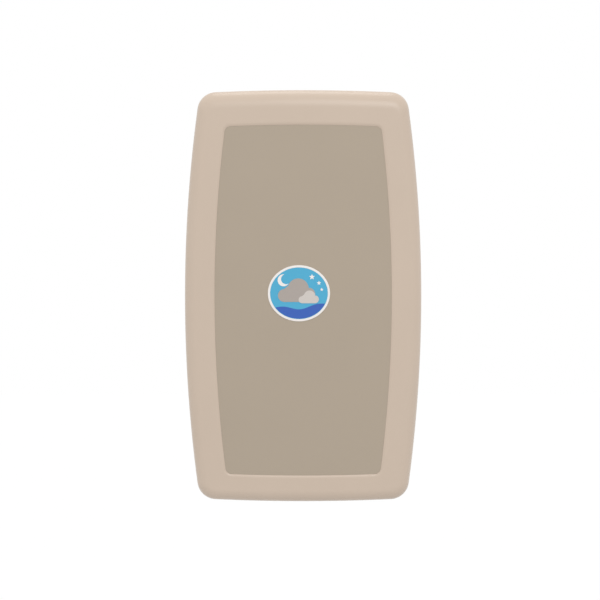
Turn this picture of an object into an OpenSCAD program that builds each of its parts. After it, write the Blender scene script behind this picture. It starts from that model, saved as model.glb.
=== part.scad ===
// Wall-mounted baby changing station of the upright kind, shown closed.
// The wall is the plane y = 0 and the front faces -y. A depth is measured forwards from the wall.
// The origin is the middle of the four wall bolts, and the bed folds down about a hinge near its foot.

/* [Door] */
// Height of the door, which covers the whole unit
door_h = 890; // [850:1:930]
// Width of the door at mid height
door_w = 512; // [490:1:540]
// Depth of the door from its back edge to its front rim
door_d = 73; // [70:1:80]
// Wall of the large mouldings
wall = 4; // [3:0.5:5]
// Radius of the bowed sides
side_bow_r = 3030; // [2700:10:4000]
// Radius of the bowed top and bottom edges
end_bow_r = 4115; // [3500:5:6000]
// Radius of the four corners
corner_r = 41; // [36:1:48]
// Width of the rounded front edge at the sides and foot, seen from the front
edge_w = 24; // [18:1:28]
// Width of the rounded front edge at the top, seen from the front
edge_top_w = 38; // [24:1:42]
// Depth of the rounded front edge
edge_d = 26; // [20:1:30]

/* [Front panel] */
// Width of the rim beside the panel
rim_side = 65.5; // [56:0.5:75]
// Width of the rim above the panel, where the door is pulled
rim_top = 77.5; // [60:0.5:85]
// Width of the rim below the panel
rim_bottom = 58; // [52:1:75]
// Corner radius of the panel
panel_corner_r = 13; // [8:1:25]
// How far the panel's face lies behind the rim
panel_recess = 2; // [1:0.5:6]
// Thickness of the inlaid panel
panel_t = 2.5; // [2:0.5:3]
// Width of the sloped wall round the recess
panel_slope = 4; // [1:0.5:6]
// Width of the oval badge
badge_w = 134; // [100:1:160]
// Height of the oval badge
badge_h = 121; // [90:1:150]
// Thickness of the oval badge
badge_t = 1.2; // [0.8:0.1:2]
// Sideways place of the badge's middle
badge_x = -9; // [-20:1:20]
// Height of the badge's middle
badge_z = 5; // [-40:1:40]

/* [Wall housing] */
// Depth of the housing from the wall to its front rim
housing_d = 50; // [48:1:58]
// Gap between the housing's rim and the closed door
door_gap = 2; // [1.5:0.5:4]
// How far the door stands out round the housing
housing_inset = 8; // [6:1:12]
// Width of the housing's front rim
housing_rim = 18; // [16:1:22]
// How far the inner panel lies behind the housing's rim
housing_recess = 6; // [4:0.5:7]
// Width of the finger pocket in the top of the housing
pocket_w = 120; // [90:1:160]
// Height of the finger pocket
pocket_h = 22; // [18:1:30]
// Depth of the finger pocket, front to back
pocket_d = 30; // [24:1:34]

/* [Wall plate] */
// Thickness of the steel wall plate
plate_t = 3; // [2.5:0.5:4]
// Width of the plate outside the screws that hold the housing
plate_margin = 20; // [16:1:26]
// Distance of the wall bolts in from the sides of the door
bolt_in = 52.8; // [50:0.2:66]
// Distance of the wall bolts from the top and foot of the door
bolt_drop = 195; // [175:1:225]
// Diameter of the holes for the wall bolts
bolt_hole = 9; // [7:0.5:11]
// Diameter of the access holes in front of the wall bolts
access_hole = 20; // [18:0.5:22]
// Diameter of the weight-saving holes in the plate
light_hole = 60; // [40:1:66]

/* [Hinge] */
// Height of the hinge axis above the door's foot
hinge_rise = 37; // [36:0.5:42]
// How far the hinge axis lies in front of the housing
hinge_forward = 8; // [7:0.5:11]
// Diameter of the hinge rod
rod_dia = 12; // [10:0.5:13]
// Radius of the bed's hinge barrels
barrel_r = 10; // [9:0.5:10.5]
// Wall of the plain bushes in the hinge ears
bush_t = 2; // [1.5:0.25:2.5]
// Thickness of a hinge ear
ear_t = 6; // [5:0.5:8]
// Sideways place of the inner hinge ears
ear_in = 60; // [50:1:66]
// Sideways place of the outer hinge ears
ear_out = 165; // [155:1:172]

/* [Gas spring] */
// Sideways place of the gas spring and of the levers
lever_x = 100; // [94:1:106]
// Distance from the hinge axis to the lever's pin
lever_r = 36; // [33:0.5:37]
// Diameter of the lever's pin
lever_pin = 8; // [7:0.5:9]
// Thickness of one lever cheek
lever_t = 5; // [4:0.5:6]
// Thickness of the slotted yoke on the gas rod
yoke_t = 12; // [10:0.5:14]
// Diameter of the gas cylinder
gas_dia = 20; // [18:0.5:22]
// Diameter of the gas rod
gas_rod_dia = 8; // [6:0.5:9]
// Bare length of the gas rod that is left when the bed is open
rod_spare = 20; // [16:1:30]

/* [Bed tray] */
// Depth of the bed's hollow, from the door's back edge to the bed's floor
tray_depth = 40; // [34:1:42]
// Width of the flat flange round the bed
flange_w = 20; // [16:1:24]
// Width of the curved side of the bed's hollow
slope_w = 66; // [58:1:80]
// Corner radius of the bed's floor
floor_corner_r = 60; // [40:1:80]

/* [Strap and buckle] */
// Width of the webbing
strap_w = 40; // [34:1:44]
// Thickness of the webbing
strap_t = 1.6; // [1.2:0.1:2]
// Distance of the strap slots from the side of the door
slot_inset = 50; // [44:1:56]
// Length of the loose end past the buckle
tail_len = 110; // [90:1:130]
// Length of the buckle's base
buckle_len = 60; // [56:1:70]
// Diameter of the cam's drum
cam_dia = 13; // [12:0.5:14]
// Length of the cam's thumb lever
cam_len = 38; // [30:1:44]

/* [Liner dispenser] */
// Distance of the dispenser's middle below the top of the door
cover_drop = 295; // [289:1:305]
// Width of the sliding cover
cover_w = 248; // [230:1:252]
// Height of the sliding cover
cover_h = 160; // [150:1:170]
// Thickness of the sliding cover
cover_t = 4; // [3:0.5:5]
// How far the cover slides up
cover_travel = 110; // [90:1:112]
// Length of the slot that the liners are drawn through
slot_len = 150; // [120:1:170]
// Height of that slot
slot_h = 26; // [20:1:32]
// Wall of the bin behind the cover
bin_wall = 2; // [1.5:0.25:3]
// Diameter of the boss that the cover's catch turns on
lock_dia = 20; // [18:0.5:22]
// Diameter of the catch's spindle
spindle_dia = 8; // [6:0.5:9]
// Length of the catch's tongue from the middle of its spindle
tongue_len = 26; // [22:1:30]
// Width of the catch's tongue
tongue_w = 12; // [10:1:14]

/* [Hooks] */
// Distance of the bag hooks in from the sides of the door
hook_in = 100; // [98:1:112]
// Gap between the dispenser's rails and the bag hooks below them
hook_gap = 15; // [10:1:30]
// Width of a hook's arm
hook_w = 16; // [12:1:20]
// How far a hook stands out from its plate
hook_reach = 26; // [22:1:30]

/* [Hidden] */

// Clearances: a running fit, a loose fit, a seat, and the air round a part that swings or slides past
run_fit = 0.05;
fit = 0.1;
seat = 0.3;
swing_gap = 2;
// A radius so large that the edge is straight
straight_r = 100000;
// Points on each side, corner and end of an outline, on the rounded edge and on the bed's slope
n_side = 14;
n_corner = 6;
n_end = 8;
n_edge = 6;
n_slope = 9;
$fn = 64;

// Depths of the main planes
inner_face = housing_d - housing_recess;
inner_back = inner_face - wall;
pocket_back = housing_d - pocket_d;
pocket_low = top_z(0, housing_inset) - pocket_h;
door_back = housing_d + door_gap;
door_front = door_back + door_d;
panel_face = door_front - panel_recess;
panel_seat = panel_face - panel_t;
skin_back = panel_seat - wall;
bed_floor = door_back + tray_depth;
// Heights and depth at the hinge
hinge_d = housing_d + hinge_forward;
hinge_z = hinge_rise - door_h / 2;
rod_r = rod_dia / 2;
ear_r = rod_r + run_fit + bush_t + fit + 3;
housing_low = hinge_z + ear_r + 4;
ear_notch_z = housing_low + housing_rim - 3;
tray_low = housing_low + swing_gap * 4;
plate_low = housing_low + wall + 0.5;
plate_high = door_h / 2 - 145;
rod_end = ear_out + ear_t / 2 + 8;
// The wall bolts, and the wall plate's foot, wings, bent lips and weight-saving holes
bolt_span_x = door_w - 2 * bolt_in;
bolt_span_z = door_h - 2 * bolt_drop;
foot_x = ear_out + ear_t / 2 + 6;
foot_h = 85;
wing_x = bolt_span_x / 2 + 18;
wing_h = 52;
lip_d = 14;
light_x = 48;
light_z = [-200, -110, 80, 170];
// The gas spring: its pin stands 45 degrees below the level of the hinge when shut and 45 above when open
lever_swing = 45;
gas_stroke = 2 * lever_r * sin(lever_swing);
pin_low_z = hinge_z - lever_r * sin(lever_swing);
pin_near_d = hinge_d - lever_r;
pin_far_d = hinge_d - lever_r * cos(lever_swing);
gas_d = (pin_near_d + pin_far_d) / 2;
// The rod's travel is even while the pin's rise is a sine, so the slot is taller than the pin
slot_play = 0.042 * lever_r;
yoke_slot = lever_pin + 2 * slot_play;
yoke_wall = 4;
yoke_cap = 8;
yoke_d = pin_far_d - pin_near_d + lever_pin + 2 * (seat + yoke_wall);
yoke_top = pin_low_z + yoke_slot / 2 + yoke_cap;
yoke_foot = pin_low_z - yoke_slot / 2 - yoke_wall;
rod_seat = 6;
gas_low = yoke_top + gas_stroke + rod_spare;
gas_bore_r = gas_dia / 2 - 2;
gas_spare = 44;
gas_len = gas_stroke + gas_spare;
gland_h = 12;
piston_h = 8;
piston_z = gas_low + gland_h + 4;
cheek_x = yoke_t / 2 + 0.5;
lever_end_r = lever_pin / 2 + 5;
pin_head_t = 1.2;
stop_z = pin_low_z + gas_stroke + lever_end_r + 0.4;
stop_h = 16;
clamp_h = 16;
clamp_in = 20;
clamp_z = [gas_low + clamp_in, gas_low + gas_len - clamp_in];
clamp_side = gas_dia / 2 + 3;
clamp_foot_t = 6;
// The bed tray's rings, as distances in from the door's outline
tray_edge = wall + seat;
slope_start = tray_edge + flange_w;
floor_start = slope_start + slope_w;
// Fasteners
screw_r = 2;
screw_head_r = 4.2;
screw_head_t = 2.4;
screw_tip = 0.5;
clamp_screw_x = clamp_side + screw_head_r + 0.4;
boss_r = 7;
boss_drop = 175;
boss_mid = -70;
boss_rise = 145;
boss_z = [door_h / 2 - boss_drop, boss_mid, boss_rise - door_h / 2];
post_r = 4.5;
post_inset = tray_edge + flange_w / 2;
post_drop = 115;
post_z = [for (k = [-1, -1 / 3, 1 / 3, 1]) k * (door_h / 2 - post_drop)];
post_top_in = 146;
post_top_x = door_w / 2 - post_top_in;
tray_screw_len = 20;
bumper_drop = 145;
bumper_z = door_h / 2 - bumper_drop;
bumper_r = 6;
bumper_x = side_x(bumper_z, housing_inset + housing_rim / 2);
// The steel frame inside the bed
frame_back = bed_floor + wall + seat;
frame_front = skin_back - seat;
rail_x = 130;
rail_w = 30;
tube_t = 2;
rail_low = tray_low + 15;
beam_low = hinge_z + 8;
beam_mid = (beam_low + rail_low) / 2;
beam_h = rail_low - beam_low;
rail_drop = 145;
rail_high = door_h / 2 - rail_drop;
cross_z = [-150, 75, rail_high - rail_w / 2];
// The strap lies on the bed and passes through the buckle
strap_gap = 0.5;
buckle_base_t = 2;
buckle_half = buckle_len / 2;
buckle_z = strap_w / 2 + 3;
cheek_t = 4;
base_top = bed_floor - seat - buckle_base_t;
web_d = base_top - seat - strap_t;
loop_r = 2.5;
loop_out = loop_r + seat + strap_t;
loop_x = -buckle_half - 12;
loop_d = bed_floor - seat - loop_out;
tail_d = loop_d - loop_out - seat - strap_t;
cam_x = 6;
cam_d = web_d - 0.7 - cam_dia / 2;
cam_pin_r = 2.5;
cam_lever_t = 4;
slot_cut = 6;
bar_r = 3;
bar_inset = slot_inset - slot_cut / 2 - bar_r - 1;
bar_x = door_w / 2 - bar_inset;
// The bar lies against the back of the bed's sloping side
bar_slope = tray_depth * PI / 2 * sin(180 * (bar_inset - slope_start) / slope_w) / slope_w;
bar_d = dish(bar_inset) + wall + (bar_r + seat) * sqrt(1 + bar_slope ^ 2);
// The dispenser
cover_z = door_h / 2 - cover_drop;
slide_gap = 0.4;
cover_back = inner_face + slide_gap;
cover_front = cover_back + cover_t;
lip_back = cover_front + slide_gap;
cover_low = cover_z - cover_h / 2;
cover_high = cover_z + cover_h / 2;
rail_in = cover_w / 2 + 0.6;
rail_out = rail_in + 10;
rail_screw_x = (rail_in + rail_out) / 2;
rail_lip = 6;
rail_lip_t = 3;
rail_top = cover_high + cover_travel + 5;
rail_bottom = cover_low - 5;
window_sill = 24;
window_head = 14;
window_low = cover_low + window_sill;
window_high = cover_high - window_head;
window_x = cover_w / 2 - 10;
bin_depth = inner_back - plate_t - 3;
bin_flange_t = 2.5;
rail_screw_in = 40;
rail_screw_z = [cover_low + rail_screw_in, cover_high - rail_screw_in, rail_top - rail_screw_in / 2];
// The catch: its tongue hangs clear of the right-hand rail's screws and swings up under a lug on that rail
lock_rise = 40;
lock_len = 5;
lock_x = rail_screw_x - screw_head_r - swing_gap / 2 - tongue_len;
lock_z = cover_low + lock_rise;
lock_front = cover_front + lock_len;
tongue_t = 4;
tongue_back = lock_front + seat;
tongue_front = tongue_back + tongue_t;
lug_gap = 1.5;
lug_low = lock_z + tongue_w / 2 + lug_gap;
lug_h = 8;
thumb_t = 3;
thumb_d = 8;
boss_x = rail_out + screw_head_r + 1.2;
plate_half_w = boss_x + plate_margin;
pull_x = 50;
pull_w = 40;
pull_d = 3;
hook_plate_t = 3;
hook_plate_w = 34;
hook_plate_h = 56;
hook_plate_r = 6;
hook_x = door_w / 2 - hook_in;
hook_z = rail_bottom - hook_gap - hook_plate_h / 2;
hook_tip = 12;
hook_bar = 8;
hook_web = 6;
hook_screw_dz = 22;

plastic = "#cbbaab";
taupe = "#b0a492";
steel = "#b9bcbf";
bright = "#d8dadc";
dark = "#2b2b2d";

// Points of an arc about c, from angle a0 up to, but not including, a1
function arc(c, r, a0, a1, n) =
    [for (i = [0 : n - 1]) let (a = a0 + (a1 - a0) * i / n) c + r * [cos(a), sin(a)]];

// Centre of a corner of radius rc that touches a side of radius rs and an end of radius re from inside
function corner_centre(half_w, rs, half_h, re, rc) =
    let (side = [half_w - rs, 0], end = [0, half_h - re], gap = norm(end - side), u = (end - side) / gap,
        along = ((rs - rc) ^ 2 - (re - rc) ^ 2 + gap ^ 2) / (2 * gap),
        across = sqrt((rs - rc) ^ 2 - along ^ 2))
    side + along * u + across * [-u[1], u[0]];

// A bowed outline of half width half_w at z = 0, with round corners, from z_low to z_top
function bowed(half_w, rs, z_top, r_top, c_top, z_low, r_low, c_low) =
    let (s = half_w - rs,
        t = corner_centre(half_w, rs, z_top, r_top, c_top),
        b = corner_centre(half_w, rs, -z_low, r_low, c_low),
        t1 = atan2(t[1], t[0] - s), t2 = atan2(t[1] - z_top + r_top, t[0]),
        b1 = atan2(b[1], b[0] - s), b2 = atan2(b[1] + z_low + r_low, b[0]))
    concat(
        arc([s, 0], rs, -b1, t1, n_side),
        arc(t, c_top, t1, t2, n_corner),
        arc([0, z_top - r_top], r_top, t2, 180 - t2, n_end),
        arc([-t[0], t[1]], c_top, 180 - t2, 180 - t1, n_corner),
        arc([-s, 0], rs, 180 - t1, 180 + b1, n_side),
        arc([-b[0], -b[1]], c_low, 180 + b1, 180 + b2, n_corner),
        arc([0, z_low + r_low], r_low, 180 + b2, 360 - b2, n_end),
        arc([b[0], -b[1]], c_low, 360 - b2, 360 - b1, n_corner));

// The door's outline, moved in by i at the sides and foot and by t at the top
function door_ring(i, t) = let (c = max(corner_r - i, 6))
    bowed(door_w / 2 - i, side_bow_r - i, door_h / 2 - t, end_bow_r - t, c, i - door_h / 2, end_bow_r - i, c);

// The front panel's outline, grown by g
function panel_ring(g) = let (c = panel_corner_r + g)
    bowed(door_w / 2 - rim_side + g, side_bow_r - rim_side + g,
        door_h / 2 - rim_top + g, end_bow_r - rim_top + g, c,
        rim_bottom - door_h / 2 - g, end_bow_r - rim_bottom + g, c);

// An outline moved in by i from the door's at the sides and top, cut straight at z_low
function cut_ring(i, c, z_low) =
    bowed(door_w / 2 - i, side_bow_r - i, door_h / 2 - i, end_bow_r - i, c, z_low, straight_r, c);

// Housing and bed tray outlines
function housing_ring(i) = cut_ring(housing_inset + i, max(corner_r - housing_inset - i, 8), housing_low + i);
function tray_ring(i) = let (t = max(0, (i - slope_start) / slope_w),
        c = corner_r - tray_edge - (min(i, slope_start) - tray_edge) / 4)
    cut_ring(i, c + (floor_corner_r - c) * t, tray_low + i - tray_edge);

// Half width of the door at height z, moved in by i, and height of its top edge at x
function side_x(z, i) = door_w / 2 - side_bow_r + sqrt((side_bow_r - i) ^ 2 - z ^ 2);
function top_z(x, i) = door_h / 2 - end_bow_r + sqrt((end_bow_r - i) ^ 2 - x ^ 2);

// Depth of the bed's surface at a distance i in from the door's side
function dish(i) = let (t = min(1, max(0, (i - slope_start) / slope_w)))
    door_back + tray_depth * (1 - cos(180 * t)) / 2;

// One closed solid through rings of [depth, outline], from its back-facing end to its front-facing end
module skin(rings) {
    n = len(rings[0][1]);
    last = (len(rings) - 1) * n;
    points = [for (r = rings) for (p = r[1]) [p[0], -r[0], p[1]]];
    sides = [for (k = [0 : len(rings) - 2], i = [0 : n - 1]) let (a = k * n + i, b = k * n + (i + 1) % n)
        each [[a, a + n, b + n], [a, b + n, b]]];
    polyhedron(points, concat(sides, [[for (i = [0 : n - 1]) i], [for (i = [n - 1 : -1 : 0]) last + i]]));
}

// A flat outline in x and z, made solid between two depths
module forward(d0, d1) rotate([90, 0, 0]) translate([0, 0, d0]) linear_extrude(d1 - d0) children();
// A flat outline in depth and z, made solid across x
module across(x, t) translate([x, 0, 0]) rotate([90, 0, -90]) linear_extrude(t, center = true) children();
// A flat outline in x and depth, made solid up z
module upward(z0, z1) translate([0, 0, z0]) linear_extrude(z1 - z0) mirror([0, 1]) children();
// A block between two corners, and one of width w and height h about x and z
module block(x0, x1, d0, d1, z0, z1) translate([x0, -d1, z0]) cube([x1 - x0, d1 - d0, z1 - z0]);
module slab(x, w, d0, d1, z, h) block(x - w / 2, x + w / 2, d0, d1, z - h / 2, z + h / 2);
// Rods along x, y and z
module rod_x(x0, x1, d, z, r) translate([x0, -d, z]) rotate([0, 90, 0]) cylinder(h = x1 - x0, r = r);
module rod_y(x, z, d0, d1, r) translate([x, -d0, z]) rotate([90, 0, 0]) cylinder(h = d1 - d0, r = r);
module rod_z(x, d, z0, z1, r) translate([x, -d, z0]) cylinder(h = z1 - z0, r = r);
module both_sides() for (s = [-1, 1]) scale_x(s) children();
module scale_x(s) if (s > 0) children(); else mirror([1, 0, 0]) children();

// A screw with a pan head, driven from the front
module screw(x, z, tip, head) {
    rod_y(x, z, tip, head, screw_r);
    rod_y(x, z, head, head + screw_head_t, screw_head_r);
}

// Steel plate against the wall: it takes the bolts and carries the hinge
module wall_plate() color(steel) difference() {
    union() {
        block(-plate_half_w, plate_half_w, 0, plate_t, plate_low, plate_high);
        block(-foot_x, foot_x, 0, plate_t, plate_low, plate_low + foot_h);
        for (s = [-1, 1]) slab(0, 2 * wing_x, 0, plate_t, s * bolt_span_z / 2, wing_h);
        both_sides() block(plate_half_w - plate_t, plate_half_w, 0, lip_d, plate_low + foot_h, plate_high);
    }
    for (sx = [-1, 1], sz = [-1, 1])
        rod_y(sx * bolt_span_x / 2, sz * bolt_span_z / 2, -1, plate_t + 1, bolt_hole / 2);
    for (sx = [-1, 1], z = boss_z) rod_y(sx * boss_x, z, -1, plate_t + 1, screw_r + fit);
    for (z = clamp_z, sx = [-1, 1]) rod_y(lever_x + sx * clamp_screw_x, z, -1, plate_t + 1, screw_r + fit);
    for (sx = [-1, 1], z = light_z) rod_y(sx * light_x, z, -1, plate_t + 1, light_hole / 2);
}

module housing_notch(x, half, top) block(x - half, x + half, -1, housing_d + 1, housing_low - 1, top);
// A hole through the inner panel
module panel_hole(x, z, r) rod_y(x, z, inner_back - 1, inner_face + 1, r);

// Moulded wall housing: an open-backed tray whose inner panel shows when the bed is down
module back_housing() color(plastic) difference() {
    union() {
        difference() {
            forward(0, housing_d) polygon(housing_ring(0));
            forward(-1, inner_back) polygon(housing_ring(wall));
            forward(inner_back - 1, housing_d - wall) difference() {
                polygon(housing_ring(wall));
                polygon(housing_ring(housing_rim - wall));
            }
            forward(inner_face, housing_d + 1) polygon(housing_ring(housing_rim));
        }
        intersection() {
            forward(0, housing_d) polygon(housing_ring(0));
            block(-pocket_w / 2 - wall, pocket_w / 2 + wall, pocket_back - wall, inner_back + 1,
                pocket_low - wall, door_h);
        }
        both_sides() for (z = boss_z) rod_y(boss_x, z, plate_t + fit, inner_back + 1, boss_r);
        both_sides() block(45, 48, plate_t + 6, inner_back + 1, stop_z + 40, cover_low - 20);
        for (z = [-150, -40]) block(-boss_x + 10, boss_x - 10, plate_t + 6, inner_back + 1, z, z + 3);
    }
    block(-pocket_w / 2, pocket_w / 2, pocket_back, housing_d + 1, pocket_low, door_h);
    both_sides() for (z = boss_z) rod_y(boss_x, z, 0, housing_d, screw_r + fit);
    for (sx = [-1, 1], sz = [-1, 1]) panel_hole(sx * bolt_span_x / 2, sz * bolt_span_z / 2, access_hole / 2);
    both_sides() for (x = [ear_in, ear_out]) housing_notch(x, ear_t / 2 + swing_gap, ear_notch_z);
    both_sides()
        housing_notch(lever_x, cheek_x + lever_t + 4 + swing_gap, yoke_top + gas_stroke + swing_gap);
    block(-window_x, window_x, inner_back - 1, inner_face + 1, window_low, window_high);
    both_sides() for (z = rail_screw_z) panel_hole(rail_screw_x, z, screw_r + fit);
    both_sides() for (s = [-1, 1]) panel_hole(hook_x, hook_z + s * hook_screw_dz, screw_r + fit);
    both_sides() for (s = [-1, 1])
        rod_y(bumper_x, s * bumper_z, inner_back, housing_d + 1, bumper_r / 2 + fit);
}

// Side view of a hinge ear: its neck comes from above, out of the path of the door's foot
module ear_outline() {
    neck_top = ear_notch_z - 1.2;
    neck_d = inner_back - 1;
    neck_rise = neck_d;
    polygon([[hinge_d + ear_r * 0.68, hinge_z + ear_r * 0.68], [neck_d, neck_top],
        [neck_d, neck_top + neck_rise], [plate_t, neck_top + 1.6 * neck_rise], [plate_t, plate_low + 2.5],
        [neck_d - 7, housing_low - 3], [hinge_d - ear_r * 0.6, hinge_z - ear_r * 0.7]]);
}

// Four steel ears on the wall plate, with the seats of the hinge bushes
module hinge_brackets() color(steel) both_sides() for (x = [ear_in, ear_out]) difference() {
    union() {
        across(x, ear_t) ear_outline();
        rod_x(x - ear_t / 2, x + ear_t / 2, hinge_d, hinge_z, ear_r);
    }
    rod_x(x - ear_t, x + ear_t, hinge_d, hinge_z, rod_r + run_fit + bush_t + run_fit);
}

module hinge_bushes() color("ivory") both_sides() for (x = [ear_in, ear_out]) difference() {
    rod_x(x - ear_t / 2, x + ear_t / 2, hinge_d, hinge_z, rod_r + run_fit + bush_t);
    rod_x(x - ear_t, x + ear_t, hinge_d, hinge_z, rod_r + run_fit);
}

module hinge_rod() color(bright) rod_x(-rod_end, rod_end, hinge_d, hinge_z, rod_r);

module hinge_clips() color(bright) both_sides() difference() {
    rod_x(ear_out + ear_t / 2 + seat, ear_out + ear_t / 2 + seat + 1.5, hinge_d, hinge_z, rod_r + 3);
    rod_x(ear_out, rod_end, hinge_d, hinge_z, rod_r + run_fit);
}

// Steel blocks that the lever cheeks meet when the bed is level
module bed_stops() color(dark) both_sides() for (s = [-1, 1])
    slab(lever_x + s * (cheek_x + lever_t / 2), lever_t, plate_t, pin_far_d + 6, stop_z + stop_h / 2, stop_h);

module gas_cylinder() color(dark) difference() {
    rod_z(lever_x, gas_d, gas_low, gas_low + gas_len, gas_dia / 2);
    rod_z(lever_x, gas_d, gas_low - 1, gas_low + gas_len - 5, gas_bore_r);
}

module gas_gland() color(bright) difference() {
    rod_z(lever_x, gas_d, gas_low, gas_low + gland_h, gas_bore_r - run_fit);
    rod_z(lever_x, gas_d, gas_low - 1, gas_low + gland_h + 1, gas_rod_dia / 2 + run_fit);
}

// Two saddles that hold the cylinder to the wall plate
module gas_clamps() color(dark) for (z = clamp_z) difference() {
    union() {
        slab(lever_x, 2 * clamp_screw_x + 10, plate_t, plate_t + clamp_foot_t, z, clamp_h);
        slab(lever_x, 2 * clamp_side, plate_t, gas_d, z, clamp_h);
        rod_z(lever_x, gas_d, z - clamp_h / 2, z + clamp_h / 2, gas_dia / 2 + 2.5);
    }
    rod_z(lever_x, gas_d, z - clamp_h, z + clamp_h, gas_dia / 2 + run_fit);
    for (s = [-1, 1]) rod_y(lever_x + s * clamp_screw_x, z, 0, gas_d, screw_r + fit);
}

module clamp_screws() color(bright) for (z = clamp_z, s = [-1, 1])
    screw(lever_x + s * clamp_screw_x, z, screw_tip, plate_t + clamp_foot_t);

module gas_rod() color(bright) {
    rod_z(lever_x, gas_d, yoke_top - rod_seat, piston_z + piston_h, gas_rod_dia / 2);
    rod_z(lever_x, gas_d, piston_z, piston_z + piston_h, gas_bore_r - 0.2);
}

// Slotted yoke on the rod's end: the lever's pin rides along its slot as the bed swings
module rod_yoke() color(bright) difference() {
    ends = [pin_near_d - seat, pin_far_d + seat];
    block(lever_x - yoke_t / 2, lever_x + yoke_t / 2, gas_d - yoke_d / 2, gas_d + yoke_d / 2,
        yoke_foot, yoke_top);
    slab(lever_x, 2 * yoke_t, ends[0], ends[1], pin_low_z, yoke_slot);
    for (d = ends) rod_x(lever_x - yoke_t, lever_x + yoke_t, d, pin_low_z, yoke_slot / 2);
    rod_z(lever_x, gas_d, yoke_top - rod_seat, yoke_top + 1, gas_rod_dia / 2 + run_fit);
}

module housing_screws() color(bright) both_sides() for (z = boss_z) screw(boss_x, z, screw_tip, inner_face);

// Push-in caps over the wall bolts
module bolt_caps() color(plastic) for (sx = [-1, 1], sz = [-1, 1])
    translate([sx * bolt_span_x / 2, 0, sz * bolt_span_z / 2]) {
        rod_y(0, 0, inner_back, inner_face, access_hole / 2 - fit);
        rod_y(0, 0, inner_face, inner_face + 2, access_hole / 2 + 2.5);
    }

// Rubber buttons that the closed bed comes up against
module bumpers() color(dark) both_sides() for (s = [-1, 1])
    translate([bumper_x, 0, s * bumper_z]) {
        rod_y(0, 0, housing_d - wall, housing_d, bumper_r / 2);
        rod_y(0, 0, housing_d, door_back - seat, bumper_r);
    }

// Bin behind the inner panel for the folded paper liners
module liner_bin() color(plastic) {
    w = 2 * window_x + 2;
    h = window_high - window_low + 2;
    mid = (window_high + window_low) / 2;
    bin_back = inner_back - bin_depth;
    difference() {
        union() {
            slab(0, w + 2 * bin_wall, bin_back, inner_back, mid, h + 2 * bin_wall);
            slab(0, 2 * rail_out, inner_back - bin_flange_t, inner_back, mid, h + 2 * bin_wall);
        }
        slab(0, w, bin_back + bin_wall, inner_back + 1, mid, h);
        both_sides() for (z = rail_screw_z) rod_y(rail_screw_x, z, 0, inner_back + 1, screw_r + fit);
    }
}

// Guides that the dispenser's cover slides in, with stops at both ends and a lug for the catch
module cover_rails() color(plastic) {
    both_sides() difference() {
        union() {
            block(rail_in, rail_out, inner_face, lip_back, rail_bottom, rail_top);
            block(rail_in - rail_lip, rail_out, lip_back, lip_back + rail_lip_t, rail_bottom, rail_top);
            block(rail_in - rail_lip, rail_in, inner_face, lip_back, rail_bottom, cover_low - seat);
            block(rail_in - rail_lip, rail_in, inner_face, lip_back,
                cover_high + cover_travel + seat, rail_top);
        }
        for (z = rail_screw_z) rod_y(rail_screw_x, z, 0, door_front, screw_r + fit);
    }
    block(rail_in - rail_lip, rail_screw_x, lip_back + rail_lip_t / 2, tongue_front,
        lug_low, lug_low + lug_h);
}

module rail_screws() color(bright) both_sides() for (z = rail_screw_z)
    screw(rail_screw_x, z, inner_back - 4, lip_back + rail_lip_t);

// Sliding cover with the slot that liners are drawn through
module dispenser_cover() color(plastic) {
    slot_z = cover_z + 6;
    slot_half = slot_len / 2 - slot_h / 2;
    difference() {
        block(-cover_w / 2, cover_w / 2, cover_back, cover_front, cover_low, cover_high);
        block(-slot_half, slot_half, 0, door_front, slot_z - slot_h / 2, slot_z + slot_h / 2);
        for (s = [-1, 1]) rod_y(s * slot_half, slot_z, 0, door_front, slot_h / 2);
    }
    for (s = [-1, 1]) slab(s * pull_x, pull_w, cover_front, cover_front + pull_d, cover_low + 10, 4);
}

// Boss on the cover with the seat of the catch's spindle
module lock_barrel() color(bright) difference() {
    rod_y(lock_x, lock_z, cover_front, lock_front, lock_dia / 2);
    rod_y(lock_x, lock_z, 0, door_front, spindle_dia / 2 + fit);
}

// Thumb-turn catch, hanging down. Turned a quarter to the right, its tongue lies under the lug
module lock_catch() color(bright) {
    end_z = lock_z - tongue_len + tongue_w / 2;
    rod_y(lock_x, lock_z, cover_front + fit, tongue_front, spindle_dia / 2);
    rod_y(lock_x, lock_z, tongue_back, tongue_front, tongue_w / 2 + 2);
    block(lock_x - tongue_w / 2, lock_x + tongue_w / 2, tongue_back, tongue_front, end_z, lock_z);
    rod_y(lock_x, end_z, tongue_back, tongue_front, tongue_w / 2);
    block(lock_x - thumb_t / 2, lock_x + thumb_t / 2, tongue_front - 1, tongue_front + thumb_d,
        end_z, lock_z + thumb_t);
}

// A hook's plate from the front, with round corners
module hook_plate_outline() {
    square([hook_plate_w - 2 * hook_plate_r, hook_plate_h], center = true);
    square([hook_plate_w, hook_plate_h - 2 * hook_plate_r], center = true);
    for (sx = [-1, 1], sz = [-1, 1])
        translate([sx * (hook_plate_w / 2 - hook_plate_r), sz * (hook_plate_h / 2 - hook_plate_r)])
            circle(r = hook_plate_r);
}

// A hook's arm from the side: it turns up at a round corner, ends round and has a web below
module hook_arm_outline() {
    turn = hook_reach - hook_bar;
    translate([-1, -hook_bar]) square([turn + 1, hook_bar]);
    intersection() {
        translate([turn, 0]) circle(r = hook_bar);
        translate([turn, -hook_bar]) square(hook_bar);
    }
    translate([turn, 0]) square([hook_bar, hook_tip]);
    translate([turn + hook_bar / 2, hook_tip]) circle(r = hook_bar / 2);
    low = -hook_bar - hook_web;
    polygon([[-1, -hook_bar / 2], [hook_web, -hook_bar], [0, low], [-1, low]]);
}

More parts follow.
